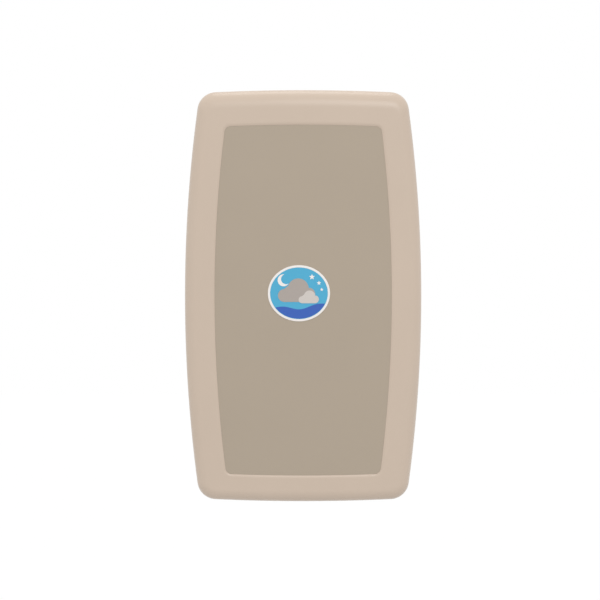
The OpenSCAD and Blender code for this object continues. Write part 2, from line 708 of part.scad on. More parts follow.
// Two hooks for bags on the inner panel
module bag_hooks() color(plastic) both_sides() difference() {
    base = inner_face + hook_plate_t;
    union() {
        forward(inner_face, base) translate([hook_x, hook_z]) hook_plate_outline();
        across(hook_x, hook_w) translate([base, hook_z]) hook_arm_outline();
    }
    for (s = [-1, 1]) rod_y(hook_x, hook_z + s * hook_screw_dz, 0, base + 1, screw_r + fit);
}

module hook_screws() color(bright) both_sides() for (s = [-1, 1])
    screw(hook_x, hook_z + s * hook_screw_dz, inner_back - 4, inner_face + hook_plate_t);

// A ring of the rounded front edge at angle a, on a wall's outer face or w inside it
function edge_ring(a, w) = [door_front - edge_d + (edge_d - w) * sin(a),
    door_ring(w + edge_w * (1 - cos(a)), w + edge_top_w * (1 - cos(a)))];

// Depth of the shell's inner face over a screw post, where the edge is rounded over a width
function post_end(width) =
    door_front - edge_d + (edge_d - wall) * sin(acos(1 - min(1, (post_inset - wall) / width)));

// Outer door: one hollow moulding with a rounded rim and a recess for the panel
module door_shell() color(plastic) {
    inside = [for (k = [n_edge : -1 : 0]) edge_ring(90 * k / n_edge, wall)];
    outside = [for (k = [0 : n_edge]) edge_ring(90 * k / n_edge, 0)];
    difference() {
        union() {
            skin(concat(
                [[skin_back, panel_ring(wall + fit)], [door_front - wall, panel_ring(panel_slope + wall)]],
                inside,
                [[door_back, door_ring(wall, wall)], [door_back, door_ring(0, 0)]],
                outside,
                [[door_front, panel_ring(panel_slope)]],
                [for (d = [panel_face, panel_seat]) [d, panel_ring(fit)]]));
            side_fixings() rod_y(0, 0, door_back + wall + seat, post_end(edge_w), post_r);
            top_fixings() rod_y(0, 0, door_back + wall + seat, post_end(edge_top_w), post_r);
        }
        tray_fixings() rod_y(0, 0, door_back, door_back + tray_screw_len + wall, screw_r + fit);
    }
}

// Places of the screws that hold the bed tray in the door
module side_fixings() both_sides() for (z = post_z) translate([side_x(z, post_inset), 0, z]) children();
module top_fixings() both_sides() translate([post_top_x, 0, top_z(post_top_x, post_inset)]) children();
module tray_fixings() {
    side_fixings() children();
    top_fixings() children();
}

module front_panel() color(taupe) forward(panel_seat, panel_face) polygon(panel_ring(0));

// Plain oval badge
module badge() color("#5fb4dc") forward(panel_face, panel_face + badge_t) translate([badge_x, badge_z])
    polygon([for (a = [0 : 5 : 355]) [badge_w / 2 * cos(a), badge_h / 2 * sin(a)]]);

// Steel frame inside the bed: two long rails, cross rails, and the barrels that turn on the hinge rod
module bed_rails() color(steel) both_sides() difference() {
    mid = (rail_low + rail_high) / 2;
    slab(rail_x, rail_w, frame_back, frame_front, mid, rail_high - rail_low);
    slab(rail_x, rail_w - 2 * tube_t, frame_back + tube_t, frame_front - tube_t, mid, rail_high);
}

module bed_cross_rails() color(steel) for (z = cross_z) difference() {
    slab(0, 2 * rail_x - rail_w, frame_back, frame_front, z, rail_w);
    slab(0, 2 * rail_x, frame_back + tube_t, frame_front - tube_t, z, rail_w - 2 * tube_t);
}

// Side views of an arm from barrel to beam, and of a lever cheek
module arm_outline() polygon([[hinge_d, hinge_z + barrel_r], [frame_back, rail_low], [frame_front, rail_low],
    [frame_front, beam_low], [hinge_d + barrel_r * 0.5, hinge_z - barrel_r * 0.86]]);
module cheek_outline() {
    side = lever_end_r * 0.7071;
    polygon([[hinge_d - side, hinge_z + side], [pin_far_d - side, pin_low_z + side],
        [pin_far_d + side, pin_low_z - side], [hinge_d + side, hinge_z - side]]);
}

module hinge_barrels() color(steel) {
    inner = ear_in - ear_t / 2 - seat;
    left = ear_in + ear_t / 2 + seat;
    right = ear_out - ear_t / 2 - seat;
    difference() {
        union() {
            slab(0, 2 * rail_x + rail_w, frame_back, frame_front, beam_mid, beam_h);
            rod_x(-inner, inner, hinge_d, hinge_z, barrel_r);
            for (x = [-30, 30]) across(x, 6) arm_outline();
            both_sides() {
                rod_x(left, right, hinge_d, hinge_z, barrel_r);
                for (x = [left + 8, right - 20]) across(x, 6) arm_outline();
                for (s = [-1, 1]) translate([lever_x + s * (cheek_x + lever_t / 2), 0, 0]) {
                    across(0, lever_t) cheek_outline();
                    rod_x(-lever_t / 2, lever_t / 2, pin_far_d, pin_low_z, lever_end_r);
                }
            }
        }
        rod_x(-rod_end, rod_end, hinge_d, hinge_z, rod_r + run_fit);
        slab(0, 2 * (rail_x + rail_w), frame_back + tube_t, frame_front - tube_t, beam_mid,
            beam_h - 2 * tube_t);
        both_sides() rod_x(lever_x - 20, lever_x + 20, pin_far_d, pin_low_z, lever_pin / 2 + run_fit);
    }
}

// Headed pins through the lever cheeks: the right one drives the gas spring
module lever_pin_set() color(bright) both_sides() {
    out = cheek_x + lever_t;
    rod_x(lever_x - out - 1, lever_x + out + 1, pin_far_d, pin_low_z, lever_pin / 2);
    for (x = [lever_x - out - fit - pin_head_t, lever_x + out + fit])
        rod_x(x, x + pin_head_t, pin_far_d, pin_low_z, lever_pin / 2 + 2);
}

// Hollowed bed, seen when the bed is down
module bed_tray() color(plastic) difference() {
    hollow = [for (k = [0 : n_slope]) slope_start + slope_w * k / n_slope];
    skin(concat(
        [for (k = [n_slope : -1 : 0]) [dish(hollow[k]), tray_ring(hollow[k])]],
        [[door_back, tray_ring(tray_edge)], [door_back + wall, tray_ring(tray_edge)]],
        [for (i = hollow) [dish(i) + wall, tray_ring(i)]]));
    tray_fixings() rod_y(0, 0, door_back - 1, door_back + wall + 1, screw_r + fit);
    tray_fixings() rod_y(0, 0, door_back - 1, door_back + screw_head_t, screw_head_r + fit);
    both_sides() block(door_w / 2 - slot_inset - slot_cut / 2, door_w / 2 - slot_inset + slot_cut / 2,
        door_back, bed_floor, -strap_w / 2 - 2, strap_w / 2 + 2);
}

// Screws with their heads sunk in the bed's flange
module tray_screws() color(bright) tray_fixings() {
    rod_y(0, 0, door_back + screw_head_t - fit, door_back + tray_screw_len, screw_r);
    rod_y(0, 0, door_back + 0.2, door_back + screw_head_t - fit, screw_head_r);
}

// Points of a strap's upper face, from the slot down the bed's side, then on through places of [x, depth]
function strap_top(places) =
    let (first = slot_inset + slot_cut / 2, step = (floor_start - first) / n_slope)
    concat(
    [[bar_x - bar_r - seat, bar_d - strap_t / 2]],
    [[door_w / 2 - slot_inset, dish(slot_inset) + wall + strap_gap]],
    [for (k = [0 : n_slope]) let (i = first + k * step) [door_w / 2 - i, dish(i) - strap_gap - strap_t]],
    places);
module strap_band(places) {
    top = strap_top(places);
    under = [for (k = [len(top) - 1 : -1 : 0]) top[k] + [0, strap_t]];
    upward(-strap_w / 2, strap_w / 2) polygon(concat(top, under));
}

// Webbing from the right-hand slot, under the cam, over the loop and on as a loose end
module strap_right() color("#3a3a3c") {
    floor_d = bed_floor - strap_gap - strap_t;
    lap_d = floor_d - strap_t - 2 * seat;
    strap_band([[buckle_half + 26, floor_d], [buckle_half + 6, web_d], [-buckle_half + 12, web_d],
        [loop_x + loop_out + 2, tail_d], [loop_x - loop_out, tail_d], [loop_x - loop_out - 22, lap_d],
        [-buckle_half - tail_len, lap_d]]);
}

// Webbing from the left-hand slot to the buckle's loop
module strap_left() color("#3a3a3c") {
    floor_d = bed_floor - strap_gap - strap_t;
    difference() {
        union() {
            mirror([1, 0, 0]) strap_band([[-loop_x, floor_d]]);
            rod_z(loop_x, loop_d, -strap_w / 2, strap_w / 2, loop_out);
        }
        rod_z(loop_x, loop_d, -strap_w, strap_w, loop_r + seat);
    }
}

// Steel bars that the straps are sewn round, behind the bed
module strap_bars() color(bright) both_sides() rod_z(bar_x, bar_d, -strap_w / 2 - 6, strap_w / 2 + 6, bar_r);

// Buckle: a base with two cheeks and a loop
module buckle_frame() color(dark) difference() {
    union() {
        slab(0, buckle_len, base_top, bed_floor - seat, 0, 2 * buckle_z + 2 * cheek_t);
        for (s = [-1, 1]) translate([0, 0, s * (buckle_z + cheek_t / 2)]) {
            slab(cam_x, 32, cam_d - 4, base_top + 0.5, 0, cheek_t);
            rod_z(cam_x, cam_d, -cheek_t / 2, cheek_t / 2, 7);
            slab((loop_x - buckle_half) / 2, 17, loop_d - loop_r, bed_floor - seat, 0, cheek_t);
        }
        rod_z(loop_x, loop_d, -buckle_z - 1, buckle_z + 1, loop_r);
    }
    rod_z(cam_x, cam_d, -buckle_z - cheek_t - 1, buckle_z + cheek_t + 1, cam_pin_r + run_fit);
}

module buckle_pin() color(bright) rod_z(cam_x, cam_d, -buckle_z - cheek_t, buckle_z + cheek_t, cam_pin_r);

// Cam with its thumb lever: lifting the lever lets the webbing run
module buckle_cam() color("#444448") {
    half = buckle_z - 0.5;
    lever_top = cam_d - cam_dia / 2;
    difference() {
        union() {
            rod_z(cam_x, cam_d, -half, half, cam_dia / 2);
            intersection() {
                slab(cam_x + cam_len / 2, cam_len, lever_top, lever_top + cam_lever_t, 0, 2 * half - 6);
                rod_y(cam_x, 0, 0, door_front, cam_len);
            }
        }
        rod_z(cam_x, cam_d, -half - 1, half + 1, cam_pin_r + run_fit);
    }
}

wall_plate();
back_housing();
hinge_brackets();
hinge_rod();
hinge_bushes();
hinge_clips();
bed_stops();
gas_cylinder();
gas_gland();
gas_clamps();
clamp_screws();
gas_rod();
rod_yoke();
housing_screws();
bolt_caps();
bumpers();
liner_bin();
cover_rails();
rail_screws();
dispenser_cover();
lock_barrel();
lock_catch();
bag_hooks();
hook_screws();
door_shell();
front_panel();
badge();
bed_rails();
bed_cross_rails();
hinge_barrels();
lever_pin_set();
bed_tray();
tray_screws();
strap_left();
strap_right();
strap_bars();
buckle_frame();
buckle_pin();
buckle_cam();
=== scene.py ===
# %% [markdown]
# # A wall-mounted baby changing station
# The object is an upright fold-down changing station, shown shut. A bowed, sand-coloured door
# covers a shallow housing on the wall, and a darker panel is let into the door's front. Behind
# the door lie the hollowed bed, its strap and buckle, a dispenser for paper liners, two bag
# hooks, a steel hinge and a gas spring. The solids come from the part's source and stay where
# they are. This file gives them their looks: the large mouldings are modelled again with smooth
# curves, the hardware gets rounded edges, and every surface gets a finish.

# %% Load the solids and measure them
import math
import bmesh
import bpy
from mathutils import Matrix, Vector, kdtree


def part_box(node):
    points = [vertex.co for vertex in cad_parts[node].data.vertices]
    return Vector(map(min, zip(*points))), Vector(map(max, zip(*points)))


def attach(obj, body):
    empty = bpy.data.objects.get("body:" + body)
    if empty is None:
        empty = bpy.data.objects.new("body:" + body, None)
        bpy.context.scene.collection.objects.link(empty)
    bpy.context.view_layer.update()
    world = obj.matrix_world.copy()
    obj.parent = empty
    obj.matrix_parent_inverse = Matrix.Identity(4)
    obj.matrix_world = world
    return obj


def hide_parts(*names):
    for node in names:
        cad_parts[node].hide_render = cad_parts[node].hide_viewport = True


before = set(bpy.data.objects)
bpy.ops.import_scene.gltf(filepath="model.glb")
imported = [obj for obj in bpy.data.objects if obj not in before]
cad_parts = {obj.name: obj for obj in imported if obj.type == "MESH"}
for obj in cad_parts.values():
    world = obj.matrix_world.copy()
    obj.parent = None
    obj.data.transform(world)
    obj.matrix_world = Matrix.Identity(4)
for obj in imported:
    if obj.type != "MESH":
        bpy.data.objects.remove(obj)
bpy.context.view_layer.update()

MM = 0.001
BOTH = (-1, 1)
door_low, door_high = (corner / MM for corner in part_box("door_shell"))
HALF_W, HALF_H = door_high.x, door_high.z
DOOR_BACK, DOOR_FRONT = -door_high.y, -door_low.y
print(f"door {2 * HALF_W:.0f} x {2 * HALF_H:.0f} mm, "
      f"from {DOOR_BACK:.0f} to {DOOR_FRONT:.0f} mm off the wall")

# %% [markdown]
# ## Camera
# The photograph looks straight at the door from far away, so a long lens keeps the sides from
# showing. The outline's middle in the photograph says where the camera aims, and the outline
# lies in a plane a little way off the wall.

# %% Camera at the photograph's view
FRAME_PX, MM_PER_PX, OUTLINE_PX = 600, 2.1655, (303.13, 295.62)
CAMERA_FAR, OUTLINE_PLANE, SENSOR = 4.0, 0.1, 36


def deselect():
    """Leave edit mode and select nothing, so that an operator acts on the next piece alone."""
    if bpy.context.object and bpy.context.object.mode != "OBJECT":
        bpy.ops.object.mode_set(mode="OBJECT")
    bpy.ops.object.select_all(action="DESELECT")


deselect()
aim_x = (FRAME_PX / 2 - OUTLINE_PX[0]) * MM_PER_PX * MM
aim_z = (OUTLINE_PX[1] - FRAME_PX / 2) * MM_PER_PX * MM
bpy.ops.object.camera_add(
    location=(aim_x, -CAMERA_FAR - OUTLINE_PLANE, aim_z), rotation=(math.pi / 2, 0, 0))
camera = bpy.context.object
camera.data.sensor_width = SENSOR
camera.data.lens = SENSOR * CAMERA_FAR / (FRAME_PX * MM_PER_PX * MM)
bpy.context.scene.camera = camera
bpy.context.scene.view_settings.view_transform = "Standard"
print(f"lens {camera.data.lens:.1f} mm, aimed at x {aim_x:.4f}, z {aim_z:.4f}")

# %% [markdown]
# ## Writing finishes as sums
# A finish is a net of shader nodes. Placing each Math node by hand hides what the net says, so
# one small class wraps a socket and lets Python's own signs add the nodes, and one method makes
# any other node. Noise is measured on the object itself, and bumps are given in millimetres.


# %% A socket that adds and multiplies, and a net of nodes
class Signal:
    """One output of a node. Adding to it or multiplying it adds a Math node."""

    def __init__(self, net, socket):
        self.net, self.socket = net, socket

    def math(self, operation, *others):
        return self.net.node("ShaderNodeMath", "Value", {"operation": operation},
                             dict(enumerate((self, *others))))

    def __add__(self, other):
        return self.math("ADD", other)

    def __mul__(self, other):
        return self.math("MULTIPLY", other)

    __radd__ = __add__
    __rmul__ = __mul__


class Net:
    """The nodes of one material or of the world."""

    def __init__(self, tree):
        self.tree = tree

    def plug(self, socket, value):
        if isinstance(value, Signal):
            self.tree.links.new(value.socket, socket)
        else:
            socket.default_value = value

    def node(self, kind, take, settings=None, sockets=None):
        """Add a node, set it up, fill its sockets and return its output named take."""
        made = self.tree.nodes.new(kind)
        for name, value in (settings or {}).items():
            setattr(made, name, value)
        for name, value in (sockets or {}).items():
            self.plug(made.inputs[name], value)
        return Signal(self, made.outputs[take])

    def seen(self, first, *others):
        """One for rays of the kinds named, and nothing for all other rays."""
        rays = self.tree.nodes.new("ShaderNodeLightPath").outputs
        total = Signal(self, rays[f"Is {first} Ray"])
        for kind in others:
            total = total + Signal(self, rays[f"Is {kind} Ray"])
        return total

    def mix_shaders(self, share, first, second):
        return self.node("ShaderNodeMixShader", 0, {}, {0: share, 1: first, 2: second})


class Finish(Net):
    """A material with one Principled shader, whose constant values are set on its sockets."""

    def __init__(self, name, colour, **sockets):
        self.material = bpy.data.materials.new(name)
        self.material.use_nodes = True
        super().__init__(self.material.node_tree)
        self.surface = self.tree.nodes["Principled BSDF"]
        self.set("Base Color", (*colour, 1))
        for socket, value in sockets.items():
            self.set(socket.replace("_", " "), value)
        self.where = self.node("ShaderNodeTexCoord", "Object")

    def set(self, socket, value):
        self.plug(self.surface.inputs[socket], value)

    def noise(self, scale, detail=2.0):
        return self.node("ShaderNodeTexNoise", 0, {}, {
            "Vector": self.where, "Scale": scale, "Detail": detail})

    def between(self, share, first, second):
        """Let the colour drift from one to another."""
        self.set("Base Color", self.node("ShaderNodeMix", 2, {"data_type": "RGBA"}, {
            0: share, 6: (*first, 1), 7: (*second, 1)}))

    def tones(self, share, colour, dark, light):
        """Let the colour drift between a darker and a lighter tone of itself."""
        self.between(share, *([min(1.0, c * k) for c in colour] for k in (dark, light)))

    def ramp(self, value, *stops):
        """Colour by a value, through stops of (place, colour)."""
        made = self.node("ShaderNodeValToRGB", 0, {}, {0: value})
        elements = made.socket.node.color_ramp.elements
        for place, _ in stops[1:-1]:
            elements.new(place)
        for element, (place, colour) in zip(elements, stops):
            element.position, element.color = place, (*colour, 1)
        self.set("Base Color", made)

    def bump(self, height):
        """Raise the surface by a height in millimetres."""
        self.set("Normal", self.node("ShaderNodeBump", "Normal", {}, {
            "Strength": 1.0, "Distance": MM, "Height": height}))


print("sockets can now be added and multiplied")

# %% [markdown]
# ## Ground and light
# The ground is plain white, and the light is soft, from above and a little to the right. The
# floor is where it would be below a unit at its usual height. A Light Path node tells the rays
# of the camera and of reflections from those that light the part, so the floor can look white
# and still take a soft shadow. Two square area lamps add to an even world.

# %% White ground, floor and lamps
AMBIENT, WHITE = 0.99, (1, 1, 1, 1)
FLOOR_Z, FLOOR_SIZE, FLOOR_GREY, FLOOR_ROUGH = -1.25, 40, 0.66, 0.9
FLOOR_GLOW, FLOOR_SHARE = 1.04, 0.9
LAMP_AIM = Vector((0, -0.05, 0))

world = bpy.data.worlds.new("studio")
bpy.context.scene.world = world
world.use_nodes = True
sky = Net(world.node_tree)
plain, white = (sky.node("ShaderNodeBackground", 0, {}, {"Color": WHITE, "Strength": strength})
                for strength in (AMBIENT, 1.0))
sky.plug(sky.tree.nodes["World Output"].inputs["Surface"],
         sky.mix_shaders(sky.seen("Camera", "Glossy", "Transmission"), plain, white))

deselect()
bpy.ops.mesh.primitive_plane_add(size=FLOOR_SIZE, location=(0, 0, FLOOR_Z))
floor = bpy.context.object
floor.name = "floor"
paint = Finish("floor_white", [FLOOR_GREY] * 3, Roughness=FLOOR_ROUGH)
glow = paint.node("ShaderNodeEmission", 0, {}, {"Color": WHITE, "Strength": FLOOR_GLOW})
lit = Signal(paint, paint.surface.outputs[0])
paint.plug(paint.tree.nodes["Material Output"].inputs["Surface"],
           paint.mix_shaders(paint.seen("Camera", "Glossy") * FLOOR_SHARE, lit, glow))
floor.data.materials.append(paint.material)


def lamp(name, place, size, watts):
    """A square soft box that faces the part."""
    deselect()
    turn = (LAMP_AIM - Vector(place)).to_track_quat("-Z", "Y").to_euler()
    bpy.ops.object.light_add(type="AREA", location=place, rotation=turn)
    made = bpy.context.object
    made.name = name
    made.data.shape = "SQUARE"
    made.data.size = size
    made.data.energy = watts
    print(f"{name}: {watts} W, {size} m square")


lamp("overhead_box", (0.0, 0.1, 2.4), 1.0, 6.2)
lamp("front_box", (0.6, -3.4, 2.0), 1.4, 20)

# %% [markdown]
# ## Finishes
# The door and housing are one sand-coloured plastic with a fine moulded grain, and the panel is
# a darker, drier sheet. Inside there are zinc-plated steel, bright steel, black paint, black
# plastic, nylon, rubber, webbing and thread. Colours are written as they look under plain light,
# and grain is put in the bump so that it keeps at any angle.

# %% Moulded plastics
SAND = (0.598, 0.485, 0.389)
TAUPE = (0.427, 0.354, 0.273)
PLASTIC_IOR = 1.5


def moulded(name, colour, rough, grain, peel):
    """Plastic with a fine grain, a slow wave from the mould, and a faint change of tone."""
    finish = Finish(name, colour, IOR=PLASTIC_IOR)
    cloud = finish.noise(7.0, 3.0)
    fine = finish.noise(1500.0)
    slow = finish.noise(55.0, 1.0)
    finish.tones(cloud, colour, 0.975, 1.025)
    finish.set("Roughness", rough - 0.05 + 0.07 * fine + 0.05 * cloud)
    finish.bump(fine * grain + slow * peel)
    return finish.material


LOOK = {
    "shell_plastic": moulded("sand_moulding", SAND, 0.28, 0.030, 0.06),
    "panel_plastic": moulded("taupe_sheet", TAUPE, 0.55, 0.060, 0.04),
    "black_plastic": moulded("black_moulding", (0.022, 0.022, 0.024), 0.42, 0.05, 0.05),
    "nylon": moulded("ivory_nylon", (0.74, 0.70, 0.60), 0.38, 0.02, 0.03),
    "rubber": moulded("black_rubber", (0.018, 0.018, 0.018), 0.75, 0.12, 0.05),
}
print("plastics:", ", ".join(LOOK))


# %% Steels
def plated():
    """Zinc plate: small crystal flakes with a faint warm and cool shift, and a rolled grain."""
    finish = Finish("zinc_plate", (0.62, 0.63, 0.64), Metallic=1.0)
    flakes = finish.node("ShaderNodeTexVoronoi", "Color", {}, {
        "Vector": finish.where, "Scale": 260.0})
    tone = finish.node("ShaderNodeSeparateColor", 0, {}, {0: flakes})
    cloud = finish.noise(18.0, 3.0)
    finish.ramp(tone * 0.5 + cloud * 0.5, (0.2, (0.52, 0.53, 0.55)),
                (0.5, (0.62, 0.63, 0.64)), (0.8, (0.70, 0.69, 0.66)))
    finish.set("Roughness", 0.30 + 0.14 * tone + 0.10 * cloud)
    finish.bump(tone * 0.02 + finish.noise(900.0) * 0.03)
    return finish.material


def bright():
    """Polished steel with fine turning lines."""
    finish = Finish("bright_steel", (0.74, 0.75, 0.76), Metallic=1.0)
    lines = finish.noise(700.0)
    finish.between(finish.noise(30.0), (0.68, 0.69, 0.71), (0.78, 0.78, 0.78))
    finish.set("Roughness", 0.14 + 0.12 * lines)
    finish.bump(lines * 0.02)
    return finish.material


def painted_steel():
    """Black powder coat: a fine leathery bump under a low gloss."""
    finish = Finish("black_coat", (0.016, 0.016, 0.017), IOR=PLASTIC_IOR)
    skin = finish.noise(1100.0)
    finish.between(finish.noise(25.0), (0.012, 0.012, 0.013), (0.022, 0.022, 0.022))
    finish.set("Roughness", 0.34 + 0.14 * skin)
    finish.bump(skin * 0.06)
    return finish.material


LOOK["plated_steel"] = plated()
LOOK["bright_steel"] = bright()
LOOK["black_steel"] = painted_steel()
print("steels: plated, bright and painted")


# %% Webbing and thread
def woven():
    """Nylon webbing: chevrons of yarn on the strap's map, u across it and v along in widths."""
    finish = Finish("nylon_webbing", (0.030, 0.030, 0.033), Sheen_Weight=0.25)
    strap_map = finish.node("ShaderNodeTexCoord", "UV")
    u, v = (finish.node("ShaderNodeSeparateXYZ", k, {}, {0: strap_map}) for k in (0, 1))
    fold = (u * 5.0).math("PINGPONG", 0.5)
    rib = ((v * 14.0 + fold * 1.6) * math.tau).math("SINE")
    yarn = (u * (26 * math.tau)).math("SINE")
    weave = rib * 0.35 + yarn * 0.15 + 0.5
    fuzz = finish.noise(1800.0)
    finish.ramp(weave * 0.85 + fuzz * 0.15, (0.1, (0.012, 0.012, 0.014)),
                (0.55, (0.034, 0.034, 0.037)), (0.95, (0.075, 0.075, 0.080)))
    finish.set("Roughness", 0.66 + 0.14 * fuzz)
    finish.bump(weave * 0.30 + fuzz * 0.08)
    return finish.material


def thread():
    """Grey sewing thread with a fine ply."""
    finish = Finish("grey_thread", (0.11, 0.11, 0.115))
    ply = finish.noise(3000.0, 1.0)
    finish.between(ply, (0.07, 0.07, 0.075), (0.16, 0.16, 0.165))
    finish.set("Roughness", 0.5 + 0.2 * ply)
    finish.bump(ply * 0.1)
    return finish.material


LOOK["webbing"] = woven()
LOOK["thread"] = thread()
print("webbing woven in chevrons, and thread to sew it")

# %% [markdown]
# ## Bowed outlines
# Door, panel, housing and bed all follow one family of outlines: slightly bowed sides and ends
# joined by round corners. Each arc is true, so the corner's centre is found where two circles
# cross, as in the part's source. An end that is cut straight has a very large bow.

# %% Outlines of door, panel, housing and bed
SIDE_BOW, END_BOW, CORNER, STRAIGHT = 3030.0, 4115.0, 41.0, 100000.0
RIM_SIDE, RIM_TOP, RIM_BOTTOM, PANEL_CORNER = 65.5, 77.5, 58.0, 13.0
HOUSING_IN, HOUSING_LOW = 8.0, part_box("back_housing")[0].z / MM
TRAY_EDGE, SLOPE_START, SLOPE_W, FLOOR_CORNER = 4.3, 24.3, 66.0, 60.0
TRAY_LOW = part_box("bed_tray")[0].z / MM
LEAST_CORNER, LEAST_HOUSING_CORNER = 6.0, 8.0
N_SIDE, N_CORNER, N_END = 26, 12, 18


def arc(centre, radius, start, end, count):
    """Points of an arc, without its last one."""
    turns = (start + (end - start) * k / count for k in range(count))
    return [(centre[0] + radius * math.cos(t), centre[1] + radius * math.sin(t)) for t in turns]


def corner_centre(half_w, side, half_h, end, corner):
    """Where a corner's circle touches the side's and the end's circle from inside."""
    a, b = Vector((half_w - side, 0.0)), Vector((0.0, half_h - end))
    gap = (b - a).length
    u = (b - a) / gap
    along = ((side - corner) ** 2 - (end - corner) ** 2 + gap ** 2) / (2 * gap)
    across = math.sqrt((side - corner) ** 2 - along ** 2)
    return a + along * u + across * Vector((-u.y, u.x))


def bowed(half_w, side, top, low):
    """An outline; top and low are the height, bow and corner radius of each end."""
    middle = half_w - side
    t = corner_centre(half_w, side, top[0], top[1], top[2])
    b = corner_centre(half_w, side, -low[0], low[1], low[2])
    t1, t2 = math.atan2(t.y, t.x - middle), math.atan2(t.y - top[0] + top[1], t.x)
    b1, b2 = math.atan2(b.y, b.x - middle), math.atan2(b.y + low[0] + low[1], b.x)
    pi = math.pi
    return (arc((middle, 0), side, -b1, t1, N_SIDE) + arc(t, top[2], t1, t2, N_CORNER)
            + arc((0, top[0] - top[1]), top[1], t2, pi - t2, N_END)
            + arc((-t.x, t.y), top[2], pi - t2, pi - t1, N_CORNER)
            + arc((-middle, 0), side, pi - t1, pi + b1, N_SIDE)
            + arc((-b.x, -b.y), low[2], pi + b1, pi + b2, N_CORNER)
            + arc((0, low[0] + low[1]), low[1], pi + b2, 2 * pi - b2, N_END)
            + arc((b.x, -b.y), low[2], 2 * pi - b2, 2 * pi - b1, N_CORNER))


def door_ring(inset, top=None):
    """The door's outline moved in by inset, or by its own amount at the top."""
    top = inset if top is None else top
    corner = max(CORNER - inset, LEAST_CORNER)
    return bowed(HALF_W - inset, SIDE_BOW - inset, (HALF_H - top, END_BOW - top, corner),
                 (inset - HALF_H, END_BOW - inset, corner))


def panel_ring(grow):
    """The panel's outline moved out."""
    corner = PANEL_CORNER + grow
    return bowed(HALF_W - RIM_SIDE + grow, SIDE_BOW - RIM_SIDE + grow,
                 (HALF_H - RIM_TOP + grow, END_BOW - RIM_TOP + grow, corner),
                 (RIM_BOTTOM - HALF_H - grow, END_BOW - RIM_BOTTOM + grow, corner))


def cut_ring(inset, corner, low):
    """The door's outline moved in, and cut straight across at the height low."""
    return bowed(HALF_W - inset, SIDE_BOW - inset, (HALF_H - inset, END_BOW - inset, corner),
                 (low, STRAIGHT, corner))


def housing_ring(inset):
    """The housing's outline moved in."""
    corner = max(CORNER - HOUSING_IN - inset, LEAST_HOUSING_CORNER)
    return cut_ring(HOUSING_IN + inset, corner, HOUSING_LOW + inset)


def tray_ring(inset):
    """The bed's outline at a distance in from the door's side, rounder towards the floor."""
    start = CORNER - TRAY_EDGE - (min(inset, SLOPE_START) - TRAY_EDGE) / 4
    corner = start + (FLOOR_CORNER - start) * max(0.0, (inset - SLOPE_START) / SLOPE_W)
    return cut_ring(inset, corner, TRAY_LOW + inset - TRAY_EDGE)


print(f"an outline has {len(door_ring(0))} points")

# %% [markdown]
# ## Modelling helpers
# A moulding is pulled out of one filled ring: the face is extruded again and again, and each
# time its corners are set on the next outline, as one does by hand with extrude and move. Holes
# are cut with Boolean modifiers. Sharp edges are found by angle, and weighted normals keep the
# wide flat faces flat beside their small fillets.

# %% Pulling, cutting and joining
ALONG, CORNER_SEGMENTS, CURVE_ANGLE, FLAT_WEIGHT = 0.99, 8, 32, 80


def pick(piece):
    """Select one piece alone and make it the active one."""
    deselect()
    piece.select_set(True)
    bpy.context.view_layer.objects.active = piece


def ring_face(name, depth, outline):
    """A filled circle whose corners are set on an outline, at a depth in front of the wall."""
    deselect()
    bpy.ops.mesh.primitive_circle_add(vertices=len(outline), fill_type="NGON")
    piece = bpy.context.object
    piece.name = name
    for vertex, (x, z) in zip(piece.data.vertices, outline):
        vertex.co = (x * MM, -depth * MM, z * MM)
    return piece


def pull(name, rings):
    """Extrude one ring face through the next rings of (depth, outline), to a closed solid."""
    piece = ring_face(name, *rings[0])
    bpy.ops.object.mode_set(mode="EDIT")
    bpy.ops.mesh.select_all(action="SELECT")
    for (depth, outline), (next_depth, next_outline) in zip(rings, rings[1:]):
        tree = kdtree.KDTree(len(outline))
        for k, (x, z) in enumerate(outline):
            tree.insert((x * MM, -depth * MM, z * MM), k)
        tree.balance()
        bpy.ops.mesh.extrude_region()
        mesh = bmesh.from_edit_mesh(piece.data)
        for vertex in mesh.verts:
            if vertex.select:
                x, z = next_outline[tree.find(vertex.co)[1]]
                vertex.co = (x * MM, -next_depth * MM, z * MM)
        bmesh.update_edit_mesh(piece.data)
    bpy.ops.mesh.select_all(action="SELECT")
    bpy.ops.mesh.normals_make_consistent(inside=False)
    bpy.ops.object.mode_set(mode="OBJECT")
    return piece


def place_in_mesh(piece):
    """Put an object's place, turn and size into its mesh."""
    pick(piece)
    bpy.ops.object.transform_apply(location=True, rotation=True, scale=True)
    return piece


def bevel_edges(piece, chosen, width, segments):
    """Round the edges of a piece that a test picks out."""
    bpy.ops.object.mode_set(mode="EDIT")
    mesh = bmesh.from_edit_mesh(piece.data)
    for edge in mesh.edges:
        edge.select_set(chosen(edge))
    bmesh.update_edit_mesh(piece.data)
    bpy.ops.mesh.bevel(offset=width * MM, segments=segments, affect="EDGES")
    bpy.ops.object.mode_set(mode="OBJECT")


def block(x0, x1, d0, d1, z0, z1, corner=0.0, along="y"):
    """A block between two corners, with its edges along one axis rounded."""
    deselect()
    middle = ((x0 + x1) / 2 * MM, -(d0 + d1) / 2 * MM, (z0 + z1) / 2 * MM)
    bpy.ops.mesh.primitive_cube_add(size=1, location=middle)
    piece = bpy.context.object
    piece.scale = ((x1 - x0) * MM, (d1 - d0) * MM, (z1 - z0) * MM)
    place_in_mesh(piece)
    axis = "xyz".index(along)

    def runs_along(edge):
        way = edge.verts[1].co - edge.verts[0].co
        return abs(way[axis]) > ALONG * way.length

    if corner:
        bevel_edges(piece, runs_along, corner, CORNER_SEGMENTS)
    return piece


